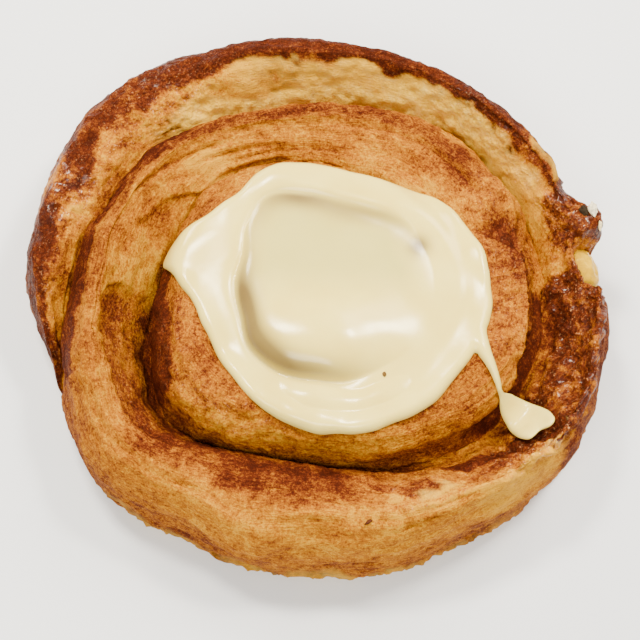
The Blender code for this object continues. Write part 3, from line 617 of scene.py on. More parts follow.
ends = np.clip(turns / TAIL_FADE, 0, 1) * np.clip((COIL_TURNS - turns) / END_FADE, 0, 1)
lift = np.clip(strand[..., 2] / RELIEF_FULL_ABOVE, 0, 1) * ends
normals = grid_normals(strand)
outward = np.sign((normals * (strand - coil_heart)).sum(-1).mean())
dough_points = strand + (outward * relief * lift)[..., None] * normals
foot_line = window(across, 0.0, 0.06, 0.03) * outer_turn * np.clip(turns / 0.05, 0, 1)
foot_line = foot_line * np.clip(strand[..., 2] / RIPPLE_FULL_ABOVE, 0, 1)
foot_ripple = FOOT_RIPPLE * (np.abs(layered_noise(strand, 1.8, 91, 3)) - 0.5) * foot_line
away = (strand - coil_heart) * (1, 1, 0)
away = away / np.maximum(np.linalg.norm(away, axis=-1, keepdims=True), 1e-9)
dough_points = dough_points + away * foot_ripple[..., None]
# no point goes past the solids' box or below the floor
within = np.array(solid_box[1]) / MM - BOX_MARGIN
dough_points[..., :2] = np.clip(dough_points[..., :2], -within[:2], within[:2])
dough_points[..., 2] = np.maximum(dough_points[..., 2], 0.0)


# %% [markdown]
# ## Closing the coil
# Columns own all their points but the first, which is the groove point of the column one turn further out.
# The tail and the inner end each shrink to one point, a dome closes the middle under the icing, and a flat
# fan closes the base, so the dough is one closed skin like the solid.

# %% Joining the grid into one closed skin
DOME_RINGS = 6


def close_coil(points, per_turn):
    """Vertex table, corner tables and the vertices' grid places, worked out by counting owned grid points."""
    last, rows = points.shape[0] - 1, points.shape[1] - 1
    owned = np.ones(points.shape[:2], bool)
    owned[0, 1:] = False
    owned[per_turn:, 0] = False
    owned[last, :] = False
    index = np.cumsum(owned.ravel()).reshape(owned.shape) - 1
    index[0, :] = index[0, 0]
    index[per_turn:, 0] = index[: last + 1 - per_turn, rows]
    index[last, :] = index[last - per_turn, rows]
    quads = np.stack([index[:-1, :-1], index[:-1, 1:], index[1:, 1:], index[1:, :-1]], -1)
    tail, end = quads[0], quads[-1]
    quads = quads[1:-1].reshape(-1, 4)
    triangles = [tail[:, [0, 2, 3]], end[:, [0, 1, 2]]]

    vertices = points[owned]
    ring = index[last - per_turn:last, rows]
    edge = vertices[ring]
    middle = np.array([*COIL_CENTRE, DOME_HEIGHT])
    share = (np.arange(1, DOME_RINGS) / DOME_RINGS)[:, None, None]
    dome = edge[None] + (middle - edge)[None] * share
    dome[..., 2] = edge[None, :, 2] + (DOME_HEIGHT - edge[None, :, 2]) * np.sin(share[..., 0] * math.pi / 2)
    first = len(vertices)
    dome_index = first + np.arange((DOME_RINGS - 1) * per_turn).reshape(DOME_RINGS - 1, per_turn)
    rings = np.vstack([ring, dome_index])
    following = np.roll(rings, -1, axis=1)
    dome_quads = np.stack([rings[:-1], rings[1:], following[1:], following[:-1]], -1).reshape(-1, 4)
    top = first + (DOME_RINGS - 1) * per_turn
    triangles.append(np.stack([rings[-1], np.full(per_turn, top), following[-1]], -1))
    base = index[:per_turn, 0]
    triangles.append(np.stack([base, np.roll(base, -1), np.full(per_turn, top + 1)], -1))
    vertices = np.vstack([vertices, dome.reshape(-1, 3), middle, [*COIL_CENTRE, 0.0]])
    return vertices, [np.vstack([quads, dome_quads]), np.vstack(triangles)], owned


dough_vertices, dough_faces, owned = close_coil(dough_points, COLUMNS_PER_TURN)
corners = dough_vertices[dough_faces[0]]
volume = (np.cross(corners[:, 0], corners[:, 1]) * corners[:, 2]).sum() / 6
volume += (np.cross(corners[:, 0], corners[:, 2]) * corners[:, 3]).sum() / 6
if volume < 0:
    dough_faces = [f[:, ::-1] for f in dough_faces]
dough = add_piece("dough_coil", dough_vertices, dough_faces)
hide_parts("dough")
print("dough", triangle_count(dough), "triangles, volume", round(abs(volume) / 1000), "ml")


# %% Masks and map on the dough
MOST_BROWNING = 0.88
PALE_FADES_FROM, PALE_GONE_AT = 0.42, 0.7


def per_vertex(grid, beyond):
    """A grid's values in the order of the vertex table, with one value for the dome and base."""
    values = grid[owned]
    return np.concatenate([values, np.full(len(dough_vertices) - len(values), beyond)])


add_value(dough, "browning", per_vertex(np.clip(browning, 0.0, MOST_BROWNING), 0.5))
add_value(dough, "pale", per_vertex(pale * (1 - step(browning, PALE_FADES_FROM, PALE_GONE_AT)), 0.0))
add_value(dough, "wet", per_vertex(wet, 0.0))
add_value(dough, "fibrous", per_vertex(fibrous, 0.0))
along_value = per_vertex(along_mm + 0 * across, 0.0)
across_value = per_vertex(across_mm + 0 * turns, 0.0)
strand_values = np.stack([along_value, across_value, 0 * along_value], -1)
strand_map = dough.data.attributes.new("strand_place", "FLOAT_VECTOR", "POINT")
strand_map.data.foreach_set("vector", strand_values.astype(np.float32).ravel())
print("masks stored:", [a.name for a in dough.data.attributes if not a.name.startswith(".")])


# %% [markdown]
# ## Building materials
# Each material is a short chain of nodes. A small helper adds nodes by name and links them, so that a
# finish reads as a list of steps.

# %% A material builder
class Finish:
    """A new material with a Principled shader, and short ways to add nodes to it."""

    def __init__(self, name):
        self.material = bpy.data.materials.new(name)
        self.material.use_nodes = True
        self.tree = self.material.node_tree
        self.shader = self.tree.nodes["Principled BSDF"]
        self.place = self.add("ShaderNodeTexCoord").outputs["Object"]

    def add(self, kind, **values):
        """A node with its properties and inputs set: a name with a leading capital is an input."""
        node = self.tree.nodes.new(kind)
        for key, value in values.items():
            if key[0].isupper():
                self.put(value, node.inputs[key.replace("_", " ")])
            else:
                setattr(node, key, value)
        return node

    def put(self, value, socket):
        """Links an output to a socket, or sets the socket's own value."""
        if isinstance(value, bpy.types.NodeSocket):
            self.tree.links.new(value, socket)
        else:
            socket.default_value = value

    def stored(self, name, output="Fac"):
        """A value that the mesh stores for each vertex."""
        return self.add("ShaderNodeAttribute", attribute_name=name).outputs[output]

    def grain(self, size_mm, detail=3.0, roughness=0.55, distortion=0.0, place=None):
        """Noise with features of that size, on the piece's own coordinates unless a place is given."""
        node = self.add("ShaderNodeTexNoise", Vector=place or self.place, Scale=1 / (size_mm * MM),
                        Detail=detail, Roughness=roughness, Distortion=distortion)
        return node.outputs["Fac"]

    def reckon(self, operation, a, b, clamp=False):
        """One arithmetic step."""
        node = self.add("ShaderNodeMath", operation=operation, use_clamp=clamp)
        self.put(a, node.inputs[0])
        self.put(b, node.inputs[1])
        return node.outputs[0]

    def times(self, a, b):
        """a x b."""
        return self.reckon("MULTIPLY", a, b)

    def plus(self, first, *others):
        """The sum of all values."""
        for other in others:
            first = self.reckon("ADD", first, other)
        return first

    def minus(self, a, b):
        """a - b, kept within 0 and 1."""
        return self.reckon("SUBTRACT", a, b, clamp=True)

    def above(self, value, threshold, gain):
        """How far the value is over the threshold, times the gain, kept within 0 and 1."""
        return self.reckon("MULTIPLY", self.minus(value, threshold), gain, clamp=True)

    def swing(self, value, amount):
        """A 0-1 value turned into one that swings that far about 0."""
        return self.times(self.reckon("SUBTRACT", value, 0.5), amount)

    def ramp(self, value, stops):
        """Colours along a value."""
        node = self.add("ShaderNodeValToRGB")
        elements = node.color_ramp.elements
        while len(elements) < len(stops):
            elements.new(0.5)
        for element, (at, colour) in zip(elements, stops):
            element.position = at
            element.color = (*colour, 1.0)
        self.put(value, node.inputs["Fac"])
        return node.outputs["Color"]

    def mix(self, share, a, b):
        """Colour a, with that share of colour b. Each is an output or three fixed numbers."""
        node = self.add("ShaderNodeMix", data_type="RGBA")
        self.put(share, node.inputs[0])
        for value, socket in ((a, node.inputs[6]), (b, node.inputs[7])):
            self.put(value if isinstance(value, bpy.types.NodeSocket) else (*value, 1.0), socket)
        return node.outputs[2]

    def surface(self, **values):
        """Sets or links the shader's inputs."""
        for key, value in values.items():
            self.put(value, self.shader.inputs[key.replace("_", " ")])

    def bump(self, height, strength, rise_mm):
        """Shading as if the height lifted the surface by so many millimetres."""
        node = self.add("ShaderNodeBump", Strength=strength, Distance=rise_mm * MM, Height=height)
        self.surface(Normal=node.outputs["Normal"])


# %% [markdown]
# ## The crust's finish
# The colour runs along one scale from pale dough to nearly burnt. Where a point lies on that scale is the
# stored browning, stirred by five noises from patches of 8 mm down to fine dust, and by fibres drawn out
# along the strand. The pale mask pulls it to a raw yellow. Where it is wet, clusters of light flecks are
# painted highlights standing in for glints, and syrup adds a gloss, broken up by the blotches.

# %% Crust
CRUST_SCALE = (
    (0.0, (0.62, 0.3, 0.014)), (0.15, (0.52, 0.21, 0.005)), (0.32, (0.41, 0.136, 0.004)),
    (0.46, (0.3, 0.088, 0.006)), (0.6, (0.185, 0.045, 0.008)), (0.75, (0.1, 0.018, 0.006)),
    (1.0, (0.044, 0.008, 0.004)),
)
PALE_SCALE = ((0.3, (0.66, 0.36, 0.02)), (0.5, (0.8, 0.49, 0.04)), (0.72, (0.92, 0.63, 0.12)))
# the colour of the painted highlights that stand in for glints on the wet crust
PAINTED_GLINT_COLOUR = (0.8, 0.4, 0.17)
SHEEN_COLOUR = (1.0, 0.62, 0.3, 1.0)
# size in mm, detail, roughness, distortion, how far it swings the browning
STIRRING = {
    "patch": (8.0, 3.0, 0.6, 1.2, 0.28),
    "blotch": (3.0, 5.0, 0.65, 0.8, 0.75),
    "crumbs": (1.3, 3.0, 0.65, 0.5, 0.6),
    "speckle": (0.5, 4.0, 0.7, 0.0, 1.2),
    "dust": (0.26, 2.0, 0.6, 0.0, 0.7),
}
FIBRE_SIZE = 0.6
FIBRE_STRETCH = (0.0003, 0.0013, 0.001)
FIBRE_SWING = 0.7
PAINTED_GLINT_SIZE = 0.42
FLAKE_SIZE = 0.9
CRUST_BUMP = 0.42


def crust_finish():
    """Baked laminated dough."""
    f = Finish("baked_crust")
    wet, fibrous = f.stored("wet"), f.stored("fibrous")
    drawn_out = f.add("ShaderNodeVectorMath", operation="MULTIPLY")
    f.put(f.stored("strand_place", "Vector"), drawn_out.inputs[0])
    f.put(FIBRE_STRETCH, drawn_out.inputs[1])
    fibre = f.grain(FIBRE_SIZE, 4.0, 0.65, 0.8, drawn_out.outputs[0])
    grains = {name: f.grain(*row[:4]) for name, row in STIRRING.items()}
    blotch, speckle = grains["blotch"], grains["speckle"]
    swings = [f.swing(grains[name], row[4]) for name, row in STIRRING.items()]
    strokes = f.times(f.swing(fibre, FIBRE_SWING), fibrous)
    baked = f.reckon("ADD", f.plus(f.stored("browning"), *swings), strokes, clamp=True)
    raw = f.ramp(f.plus(blotch, f.swing(speckle, 0.7)), PALE_SCALE)
    crust = f.mix(f.stored("pale"), f.ramp(baked, CRUST_SCALE), raw)
    # painted highlights: light flecks in clusters where the crust is wet and less browned
    painted_glint = f.above(f.grain(PAINTED_GLINT_SIZE, 2.0, 0.6), 0.57, 10.0)
    painted_glint = f.times(painted_glint, f.times(wet, f.minus(1.25, baked)))
    painted_glint = f.times(painted_glint, f.above(grains["crumbs"], 0.46, 6.0))

    dry = f.plus(0.66, f.swing(speckle, 0.3))
    shine = f.times(wet, f.plus(0.3, f.swing(blotch, 0.5)))
    syrup = f.times(f.above(wet, 0.78, 2.2), f.above(blotch, 0.44, 6.0))
    f.surface(Base_Color=f.mix(painted_glint, crust, PAINTED_GLINT_COLOUR), Roughness=f.minus(dry, shine))
    f.surface(Specular_IOR_Level=0.05, Specular_Tint=SHEEN_COLOUR, Coat_Weight=syrup, Coat_Roughness=0.14)

    flakes = f.add("ShaderNodeTexVoronoi", Vector=f.place, Scale=1 / (FLAKE_SIZE * MM), Randomness=1.0)
    rise = f.plus(f.times(speckle, 0.6), f.times(fibre, fibrous), f.times(grains["dust"], 0.35))
    f.bump(f.plus(rise, f.times(flakes.outputs["Distance"], wet)), 1.0, CRUST_BUMP)
    return f.material


dough.data.materials.append(crust_finish())
print("crust nodes", len(dough.data.materials[0].node_tree.nodes))

# %% [markdown]
# ## The icing's outline
# The icing is one pool with a run over the front right that ends in a drop. Its outline is a distance
# field: how far inside the edge each point of a flat grid is. The pool's distance is its edge radius less
# the radius, the run's is its half width less the distance from its line, and a soft maximum melts them
# into one another.

# %% Icing outline
ICING_EDGE = (
    (0, 31.8), (15, 31.0), (30, 29.6), (45, 27.2), (60, 24.7), (75, 23.6), (95, 24.9), (112, 25.0),
    (127, 23.3), (145, 24.4), (158, 27.4), (168, 28.6), (176, 25.5), (188, 22.5), (203, 21.6),
    (220, 22.2), (238, 23.8), (255, 25.8), (272, 27.7), (292, 29.2), (312, 30.2), (330, 30.8), (345, 31.6),
)
DRIP = (
    (28.4, -9.4, 2.2), (30.0, -12.6, 1.3), (31.5, -15.7, 0.8), (32.4, -18.0, 0.6), (32.9, -19.4, 0.5),
    (33.6, -20.1, 0.8), (34.8, -20.9, 1.9), (36.2, -21.6, 2.7), (37.8, -22.5, 3.1), (39.5, -23.3, 2.6),
    (40.8, -24.1, 1.7),
)
DROP_TAIL = ((37.4, -23.6, 2.6), (37.8, -25.0, 2.1), (37.9, -26.5, 1.0))
ICING_GRID = 0.27
MELT = 0.7
EDGE_WOBBLE = 0.25


def inside_ring(keys, x, y):
    """How far points lie inside a ring of (degrees, radius) keys, and their direction in degrees."""
    degrees = np.degrees(np.arctan2(y, x))
    return ring_curve(keys, degrees) - np.hypot(x, y), degrees


def plan_noise(x, y, size, seed):
    """The smooth noise at points of a flat plan."""
    return noise(np.stack([x, y, 0 * x], -1), size, seed)


def run_distance(x, y, route):
    """Greatest of half width less distance, over short pieces of the route's smooth curve."""
    route = np.array(route, float)
    ran = np.concatenate([[0], np.cumsum(np.hypot(*np.diff(route[:, :2], axis=0).T))])
    at = np.linspace(0, ran[-1], 60)
    px, py, half = (curve(list(zip(ran, route[:, k])), at) for k in range(3))
    gap = np.hypot(x[..., None] - px, y[..., None] - py)
    return (half - gap).max(-1)


def soft_maximum(a, b, melt):
    """The greater of two distances, with the corner between them filled over the melt width."""
    near = np.clip(melt - np.abs(a - b), 0, None) / melt
    return np.maximum(a, b) + near**2 * melt / 4


def icing_distance(x, y):
    """Distance inside the icing's edge, in millimetres, for points measured from the coil's middle."""
    pool = inside_ring(ICING_EDGE, x, y)[0] + EDGE_WOBBLE * plan_noise(x, y, 3.5, 51)
    run = soft_maximum(run_distance(x, y, DRIP), run_distance(x, y, DROP_TAIL), MELT)
    return soft_maximum(pool, run, MELT)


gx, gy = np.meshgrid(np.arange(-31, 46, ICING_GRID), np.arange(-34, 29, ICING_GRID), indexing="ij")
inside = icing_distance(gx, gy)
print("icing area", round(float((inside > 0).sum() * ICING_GRID**2)), "square mm")

# %% [markdown]
# ## What the icing lies on
# The dough's height under each point comes from a height map: every dough vertex drops its height into a
# square cell, and the highest wins. A cell that no vertex fell into takes its neighbours' mean. Icing is
# stiff enough to bridge narrow grooves, so it lies on the map or on the map's local mean, whichever is
# higher.

# %% Height map of the dough
CELL = 0.75
HALF_MAP = 60.0


def height_map(points):
    """Highest point in each square cell, with empty cells filled from their neighbours."""
    cells = int(2 * HALF_MAP / CELL)
    cell = np.clip(((points[:, :2] + HALF_MAP) / CELL).astype(int), 0, cells - 1)
    top = np.full((cells, cells), -1.0)
    np.maximum.at(top, (cell[:, 0], cell[:, 1]), points[:, 2])
    for _ in range(3):
        around = np.stack([np.roll(top, s, (0, 1)) for s in ((1, 0), (-1, 0), (0, 1), (0, -1))])
        filled = np.where(around >= 0, around, 0).sum(0) / np.maximum((around >= 0).sum(0), 1)
        top = np.where(top < 0, filled, top)
    return top


def blurred(table, reach_mm):
    """Mean over a square, done as a running sum along each axis, twice, which gives a tent-shaped blur."""
    half = max(1, round(reach_mm / CELL))
    for axis in (0, 1, 0, 1):
        table = sum(np.roll(table, s, axis) for s in range(-half, half + 1)) / (2 * half + 1)
    return table


def look_up(table, x, y):
    """Value of a map at points of the shared frame, blended between the four nearest cells."""
    fx, fy = (x + HALF_MAP) / CELL - 0.5, (y + HALF_MAP) / CELL - 0.5
    ix = np.clip(np.floor(fx).astype(int), 0, table.shape[0] - 2)
    iy = np.clip(np.floor(fy).astype(int), 0, table.shape[1] - 2)
    tx, ty = np.clip(fx - ix, 0, 1), np.clip(fy - iy, 0, 1)
    low = table[ix, iy] * (1 - tx) + table[ix + 1, iy] * tx
    high = table[ix, iy + 1] * (1 - tx) + table[ix + 1, iy + 1] * tx
    return low * (1 - ty) + high * ty


dough_top = height_map(dough_vertices)
covered = dough_top
for axis in (0, 1):
    covered = np.maximum.reduce([covered, np.roll(covered, 1, axis), np.roll(covered, -1, axis)])
bridged = np.maximum(blurred(covered, 0.8), blurred(dough_top, 2.2))
smoothed = np.maximum(blurred(covered, 2.0), dough_top)
middle_height = look_up(dough_top, *[np.array(c) for c in COIL_CENTRE])
print("dough under the middle", round(float(middle_height), 1), "mm")

# %% [markdown]
# ## The icing's surface
# From the edge inwards the icing has a rounded lip, then rises to its own nearly level pool. The spoon left
# a fold: a C-shaped crease with a steep side towards the middle, a gentle one outside, and a smooth
# swelling within.

# %% Icing surface
POOL_HEIGHT = 26.5
POOL_TILT_BACK, POOL_TILT_REACH = 0.7, 25.0
CREASE_RADIUS = (
    (0, 21.5), (20, 21.0), (36, 20.6), (55, 18.2), (75, 17.0), (95, 18.0), (115, 19.6), (135, 17.6),
    (155, 15.0), (175, 14.6), (200, 15.0), (225, 16.6), (247, 17.9), (272, 18.6), (292, 19.2), (312, 20.2),
    (335, 21.5),
)
# degrees, width over which the surface goes from the outer level to the inner one, depth of the crease,
# and how strongly brown shade is painted on the face inside the crease
FOLD = (
    (0, 9.0, 0.0, 0.0), (15, 9.0, 0.0, 0.05), (28, 6.0, 0.0, 0.2), (50, 2.2, 0.4, 0.5), (80, 1.4, 0.6, 0.6),
    (105, 1.2, 0.7, 0.75), (125, 1.8, 0.4, 0.4), (150, 1.8, 0.4, 0.3), (170, 1.8, 0.8, 0.55),
    (190, 2.0, 0.8, 0.9), (215, 2.1, 0.8, 1.0), (240, 2.0, 0.8, 0.95), (262, 1.8, 0.7, 0.7),
    (282, 1.5, 0.6, 0.4), (298, 2.4, 0.2, 0.15), (318, 7.0, 0.0, 0.0), (340, 8.0, 0.0, 0.0),
)
FOLD_LEVEL = (0.9, 2.3, 232.0)
FOLD_REACH = 16.0
FOLD_LOWERED = 0.6
CREASE_WIDTH = 0.9
CREASE_SWAY = 0.4
# where and how strongly the painted shade lies on the face inside the crease
FACE_PLACE, FACE_INNER_WIDTH, FACE_OUTER_WIDTH, FACE_SHADE = 1.2, 2.7, 1.1, 1.25
SWELL = ((4.0, -8.0), (12.0, 8.0), 1.6)
SWELL_FLATNESS = 1.2
DIMPLE = ((18.7, 7.4), 3.0, 0.12)
DIMPLE_SHADE_REACH = 0.7
BROAD_WAVES = 0.35
LIP_THICKNESS = 1.25
LIP_ROUND = 1.5
POOL_BLEND = 6.5
LEAST_POOL = 0.9
LEAST_THICKNESS = 0.2
DROP_FROM, DROP_FULL = 36.5, 39.5
RUN_THINNED, THINNED_FROM, THINNED_FULL = 0.25, 31, 38
SUNK_IN_DOUGH = 0.8
SOLE_AT_EDGE, SOLE_INSIDE = 0.25, 2.2
# how far inside the crease, and from where towards the back, the cool painted shade reaches
COOL_SHADE_WIDTH, COOL_SHADE_FROM, COOL_SHADE_FULL = 6.0, -6.0, 4.0


def inside_crease(x, y):
    """Distance inside the crease, with a little sway, and the three values that the fold has there."""
    off, degrees = inside_ring(CREASE_RADIUS, x, y)
    off = off + CREASE_SWAY * plan_noise(x, y, 6.0, 55)
    return off, *(ring_curve([(row[0], row[k]) for row in FOLD], degrees) for k in (1, 2, 3))


def fold(x, y):
    """Inside the crease is a tilted plane, reached as 1 - e^(-q/w), q the distance inside, w the width."""
    off, width, crease, _ = inside_crease(x, y)
    middle, tilt, towards = FOLD_LEVEL
    towards = math.radians(towards)
    plane = middle + tilt * (x * math.cos(towards) + y * math.sin(towards)) / FOLD_REACH
    inner = plane * (1 - np.exp(-np.maximum(off, 0) / width))
    return inner - crease * np.exp(-np.abs(off) / CREASE_WIDTH) - FOLD_LOWERED


def folded_shade(x, y):
    """Painted shade: 1 on the steep face just inside the crease and in the dimple, 0 elsewhere."""
    off, _, _, dark = inside_crease(x, y)
    (dx, dy), reach, _ = DIMPLE
    width = np.where(off > FACE_PLACE, FACE_INNER_WIDTH, FACE_OUTER_WIDTH)
    face = FACE_SHADE * dark * hump(off, FACE_PLACE, width)
    dimple_shade = np.exp(-((x - dx) ** 2 + (y - dy) ** 2) / (DIMPLE_SHADE_REACH * reach) ** 2)
    return np.clip(np.maximum(face, dimple_shade), 0, 1)


def pool_height(x, y):
    """The pool, its fold, the swelling inside it and the dimple at the fold's end."""
    (mx, my), (rx, ry), rise = SWELL
    swell = rise * np.exp(-(((x - mx) / rx) ** 2 + ((y - my) / ry) ** 2) ** SWELL_FLATNESS)
    (dx, dy), reach, deep = DIMPLE
    dimple = deep * np.exp(-(((x - dx) ** 2 + (y - dy) ** 2) / reach**2))
    broad = BROAD_WAVES * plan_noise(x, y, 11.0, 57)
    tilt = POOL_TILT_BACK * y / POOL_TILT_REACH
    return POOL_HEIGHT + tilt + fold(x, y) + swell - dimple + broad


def icing_surface(x, y, inside):
    """Heights of top and underside: a rounded lip near the edge that blends into the pool further in."""
    wx, wy = x + COIL_CENTRE[0], y + COIL_CENTRE[1]
    from_middle = np.hypot(x, y)
    drop = step(from_middle, DROP_FROM, DROP_FULL)
    lie = look_up(bridged, wx, wy) * (1 - drop) + look_up(smoothed, wx, wy) * drop
    thickness = LIP_THICKNESS * (1 - RUN_THINNED * step(from_middle, THINNED_FROM, THINNED_FULL))
    lip = thickness * np.sqrt(1 - np.clip(1 - inside / LIP_ROUND, 0, 1) ** 2)
    share = step(inside_ring(ICING_EDGE, x, y)[0], 0.0, POOL_BLEND)
    top = (lie + lip) * (1 - share) + pool_height(x, y) * share
    top = np.maximum(top, lie + LEAST_POOL * share)
    sole = top - SOLE_AT_EDGE - SOLE_INSIDE * step(inside, 0.0, 2.0)
    under = np.maximum(look_up(dough_top, wx, wy) - SUNK_IN_DOUGH, sole)
    return top, np.minimum(under, top - LEAST_THICKNESS)


# %% Icing mesh
def snap_to_edge(x, y, inside):
    """Moves points just outside the edge onto it, along the distance's slope, by distance over slope."""
    d = 0.05
    sx = (icing_distance(x + d, y) - icing_distance(x - d, y)) / (2 * d)
    sy = (icing_distance(x, y + d) - icing_distance(x, y - d)) / (2 * d)
    back = np.where(inside < 0, -inside, 0) / np.maximum(sx**2 + sy**2, 0.2)
    return x + sx * back, y + sy * back


def icing_mesh():
    """Top and underside share one grid, cut to the cells that touch the icing. A skirt joins their rims."""
    cell_in = np.maximum.reduce([inside[:-1, :-1], inside[1:, :-1], inside[1:, 1:], inside[:-1, 1:]]) > 0.0
    used = np.zeros(inside.shape, bool)
    for a, b in ((0, 0), (1, 0), (1, 1), (0, 1)):
        used[a:a + cell_in.shape[0], b:b + cell_in.shape[1]] |= cell_in
    index = np.cumsum(used.ravel()).reshape(used.shape) - 1
    x, y = gx[used], gy[used]
    for _ in range(2):
        x, y = snap_to_edge(x, y, icing_distance(x, y))
    top, under = icing_surface(x, y, np.maximum(icing_distance(x, y), 0))
    count = len(x)
    wx, wy = x + COIL_CENTRE[0], y + COIL_CENTRE[1]
    quads = np.stack([index[:-1, :-1], index[1:, :-1], index[1:, 1:], index[:-1, 1:]], -1)[cell_in]
    edges = np.concatenate([quads[:, [k, (k + 1) % 4]] for k in range(4)])
    key = np.sort(edges, 1) @ np.array([count, 1])
    _, first, times = np.unique(key, return_index=True, return_counts=True)
    rim = edges[first[times == 1]]
    skirt = np.stack([rim[:, 1], rim[:, 0], rim[:, 0] + count, rim[:, 1] + count], -1)
    points = np.vstack([np.stack([wx, wy, top], -1), np.stack([wx, wy, under], -1)])
    return points, [np.vstack([quads, quads[:, ::-1] + count, skirt])]


icing = add_piece("icing_pool", *icing_mesh())
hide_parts("icing")
icing_points = np.array([v.co for v in icing.data.vertices]) / MM - np.array([*COIL_CENTRE, 0])
icing_x, icing_y = icing_points[:, 0], icing_points[:, 1]
# painted shade: a mask for the crease's steep face and the dimple
add_value(icing, "shade", folded_shade(icing_x, icing_y))
# painted shade: a cooler, darker grey towards the back of the lower level inside the fold
cool_shade = np.clip(inside_crease(icing_x, icing_y)[0] / COOL_SHADE_WIDTH, 0, 1) * step(icing_y, COOL_SHADE_FROM, COOL_SHADE_FULL)
add_value(icing, "cool_shade", cool_shade)
print("icing", triangle_count(icing), "triangles")


# %% [markdown]
# ## The icing's finish
# Set icing is a warm off-white with a soft gloss. A little light passes into it, which takes the hardness
# from its shadows. Brown shade is painted on the steep face inside the crease and in the dimple, and a
# cooler, darker painted shade lies on the back of the lower level inside the fold.

# %% Icing finish
ICING_COLOURS = ((0.3, (0.82, 0.64, 0.14)), (0.7, (0.91, 0.74, 0.2)))
# the grey of the painted shade on the back of the level inside the fold
COOL_SHADE_ICING = (0.5, 0.46, 0.13)
# the brown of the painted shade in the crease and the dimple
SHADED_ICING = (0.15, 0.09, 0.026)


def icing_finish():
    """Glossy set icing."""
    f = Finish("set_icing")
    cloud = f.grain(9.0, 3.0, 0.5)
    # painted shade: the stored mask mixes the icing towards a darker grey
    tint = f.mix(f.times(f.stored("cool_shade"), 0.6), f.ramp(cloud, ICING_COLOURS), COOL_SHADE_ICING)
    # painted shade: the stored mask mixes the icing towards brown
    shaded = f.times(f.stored("shade"), f.plus(0.9, f.swing(cloud, 0.2)))
    f.surface(Base_Color=f.mix(shaded, tint, SHADED_ICING), Specular_IOR_Level=0.45)
    f.surface(Roughness=f.plus(0.2, f.swing(f.grain(2.0), 0.12)))
    f.surface(Subsurface_Weight=0.12, Subsurface_Radius=(0.0016, 0.0012, 0.0006), Subsurface_Scale=1.0)
    f.bump(f.grain(2.6, 3.0, 0.5), 0.15, 0.12)
    return f.material


icing.data.materials.append(icing_finish())

# %% [markdown]
# ## The custard
# The custard in the burst is a set, slightly bulging lump. It is the solid's rounded lozenge with dents,
# run on a grid of two angles, and its finish is a moist yellow.

# %% Custard
CUSTARD_ANGLE = 7.4
CUSTARD_MIDDLE_RADIUS = 48.0
CUSTARD_HALF_LENGTH = 4.6
CUSTARD_HALF_WIDTH = 4.6
CUSTARD_BOTTOM = 4.5
CUSTARD_TOP = 18.5
CUSTARD_SLANT = 0.45
CUSTARD_BULGE_POWER = 3.0
CUSTARD_DENTS = 0.07


def custard_points(polar, around):
    """A superellipsoid: half sizes times sines and cosines to the power 2 / bulge power, then slanted."""
    def soften(x):
        return np.sign(x) * np.abs(x) ** (2 / CUSTARD_BULGE_POWER)

    along = soften(np.cos(polar)) * CUSTARD_HALF_LENGTH + 0 * around
    sideways = soften(np.sin(polar)) * soften(np.cos(around)) * CUSTARD_HALF_WIDTH
    half_height = (CUSTARD_TOP - CUSTARD_BOTTOM) / 2
    upward = soften(np.sin(polar)) * soften(np.sin(around)) * half_height + CUSTARD_SLANT * along
    turn = math.radians(CUSTARD_ANGLE)
    outwards = np.array([math.cos(turn), math.sin(turn)])
    sidewards = np.array([-math.sin(turn), math.cos(turn)])
    plan = (along + CUSTARD_MIDDLE_RADIUS)[..., None] * outwards + sideways[..., None] * sidewards
    level = upward + CUSTARD_BOTTOM + half_height
    points = np.concatenate([plan + np.array(COIL_CENTRE), level[..., None]], -1)
    dents = CUSTARD_DENTS * layered_noise(points, 3.0, 101, 3)[..., None]
    return points + dents * (points - points.mean((0, 1)))


def round_grid(short, rings, sides):
    """Polar angles of rings that stop short of both poles, and the angles round each ring."""
    polar = np.linspace(short, math.pi - short, rings)[:, None]
    return polar, np.linspace(0, 2 * math.pi, sides + 1)[None, :-1]


def capped_tube(grid):
    """Corner tables of a grid whose rows close on themselves, with a fan on each end's middle point."""
    rings, sides = grid.shape[:2]
    index = np.arange(rings * sides).reshape(rings, sides)
    after = np.roll(index, -1, axis=1)
    quads = np.stack([index[:-1], index[1:], after[1:], after[:-1]], -1).reshape(-1, 4)
    start = np.stack([np.full(sides, rings * sides), index[0], after[0]], -1)
    end = np.stack([np.full(sides, rings * sides + 1), after[-1], index[-1]], -1)
    points = np.vstack([grid.reshape(-1, 3), grid[0].mean(0), grid[-1].mean(0)])
    return points, [quads, np.vstack([start, end])]


custard = add_piece("custard_bead", *capped_tube(custard_points(*round_grid(0.02, 60, 96))))
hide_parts("custard")
print("custard", triangle_count(custard), "triangles")


# %% Custard finish
CUSTARD_COLOURS = ((0.3, (0.46, 0.25, 0.001)), (0.7, (0.62, 0.37, 0.001)))


def custard_finish():
    """Set custard."""
    f = Finish("set_custard")
    f.surface(Base_Color=f.ramp(f.grain(2.0, 4.0, 0.6), CUSTARD_COLOURS), Specular_IOR_Level=0.2)
    f.surface(Specular_Tint=(1.0, 0.8, 0.3, 1.0), Roughness=f.plus(0.32, f.swing(f.grain(0.8, 2.0), 0.2)))
    f.bump(f.grain(0.9), 0.5, 0.15)
    return f.material


custard.data.materials.append(custard_finish())

# %% [markdown]
# ## Crumbs
# Real pastry sheds. Two dry flakes and a burnt bit stick to the torn lobe on the right, one dark crumb lies
# on the front crest, and a brown speck sits in the icing. Each is a small closed lump, a dented ball
# squeezed to its size.

# %% Crumbs
SPECK_PLACE = (12.1, -17.3)
speck_height = float(pool_height(*[np.array(c) for c in SPECK_PLACE]))
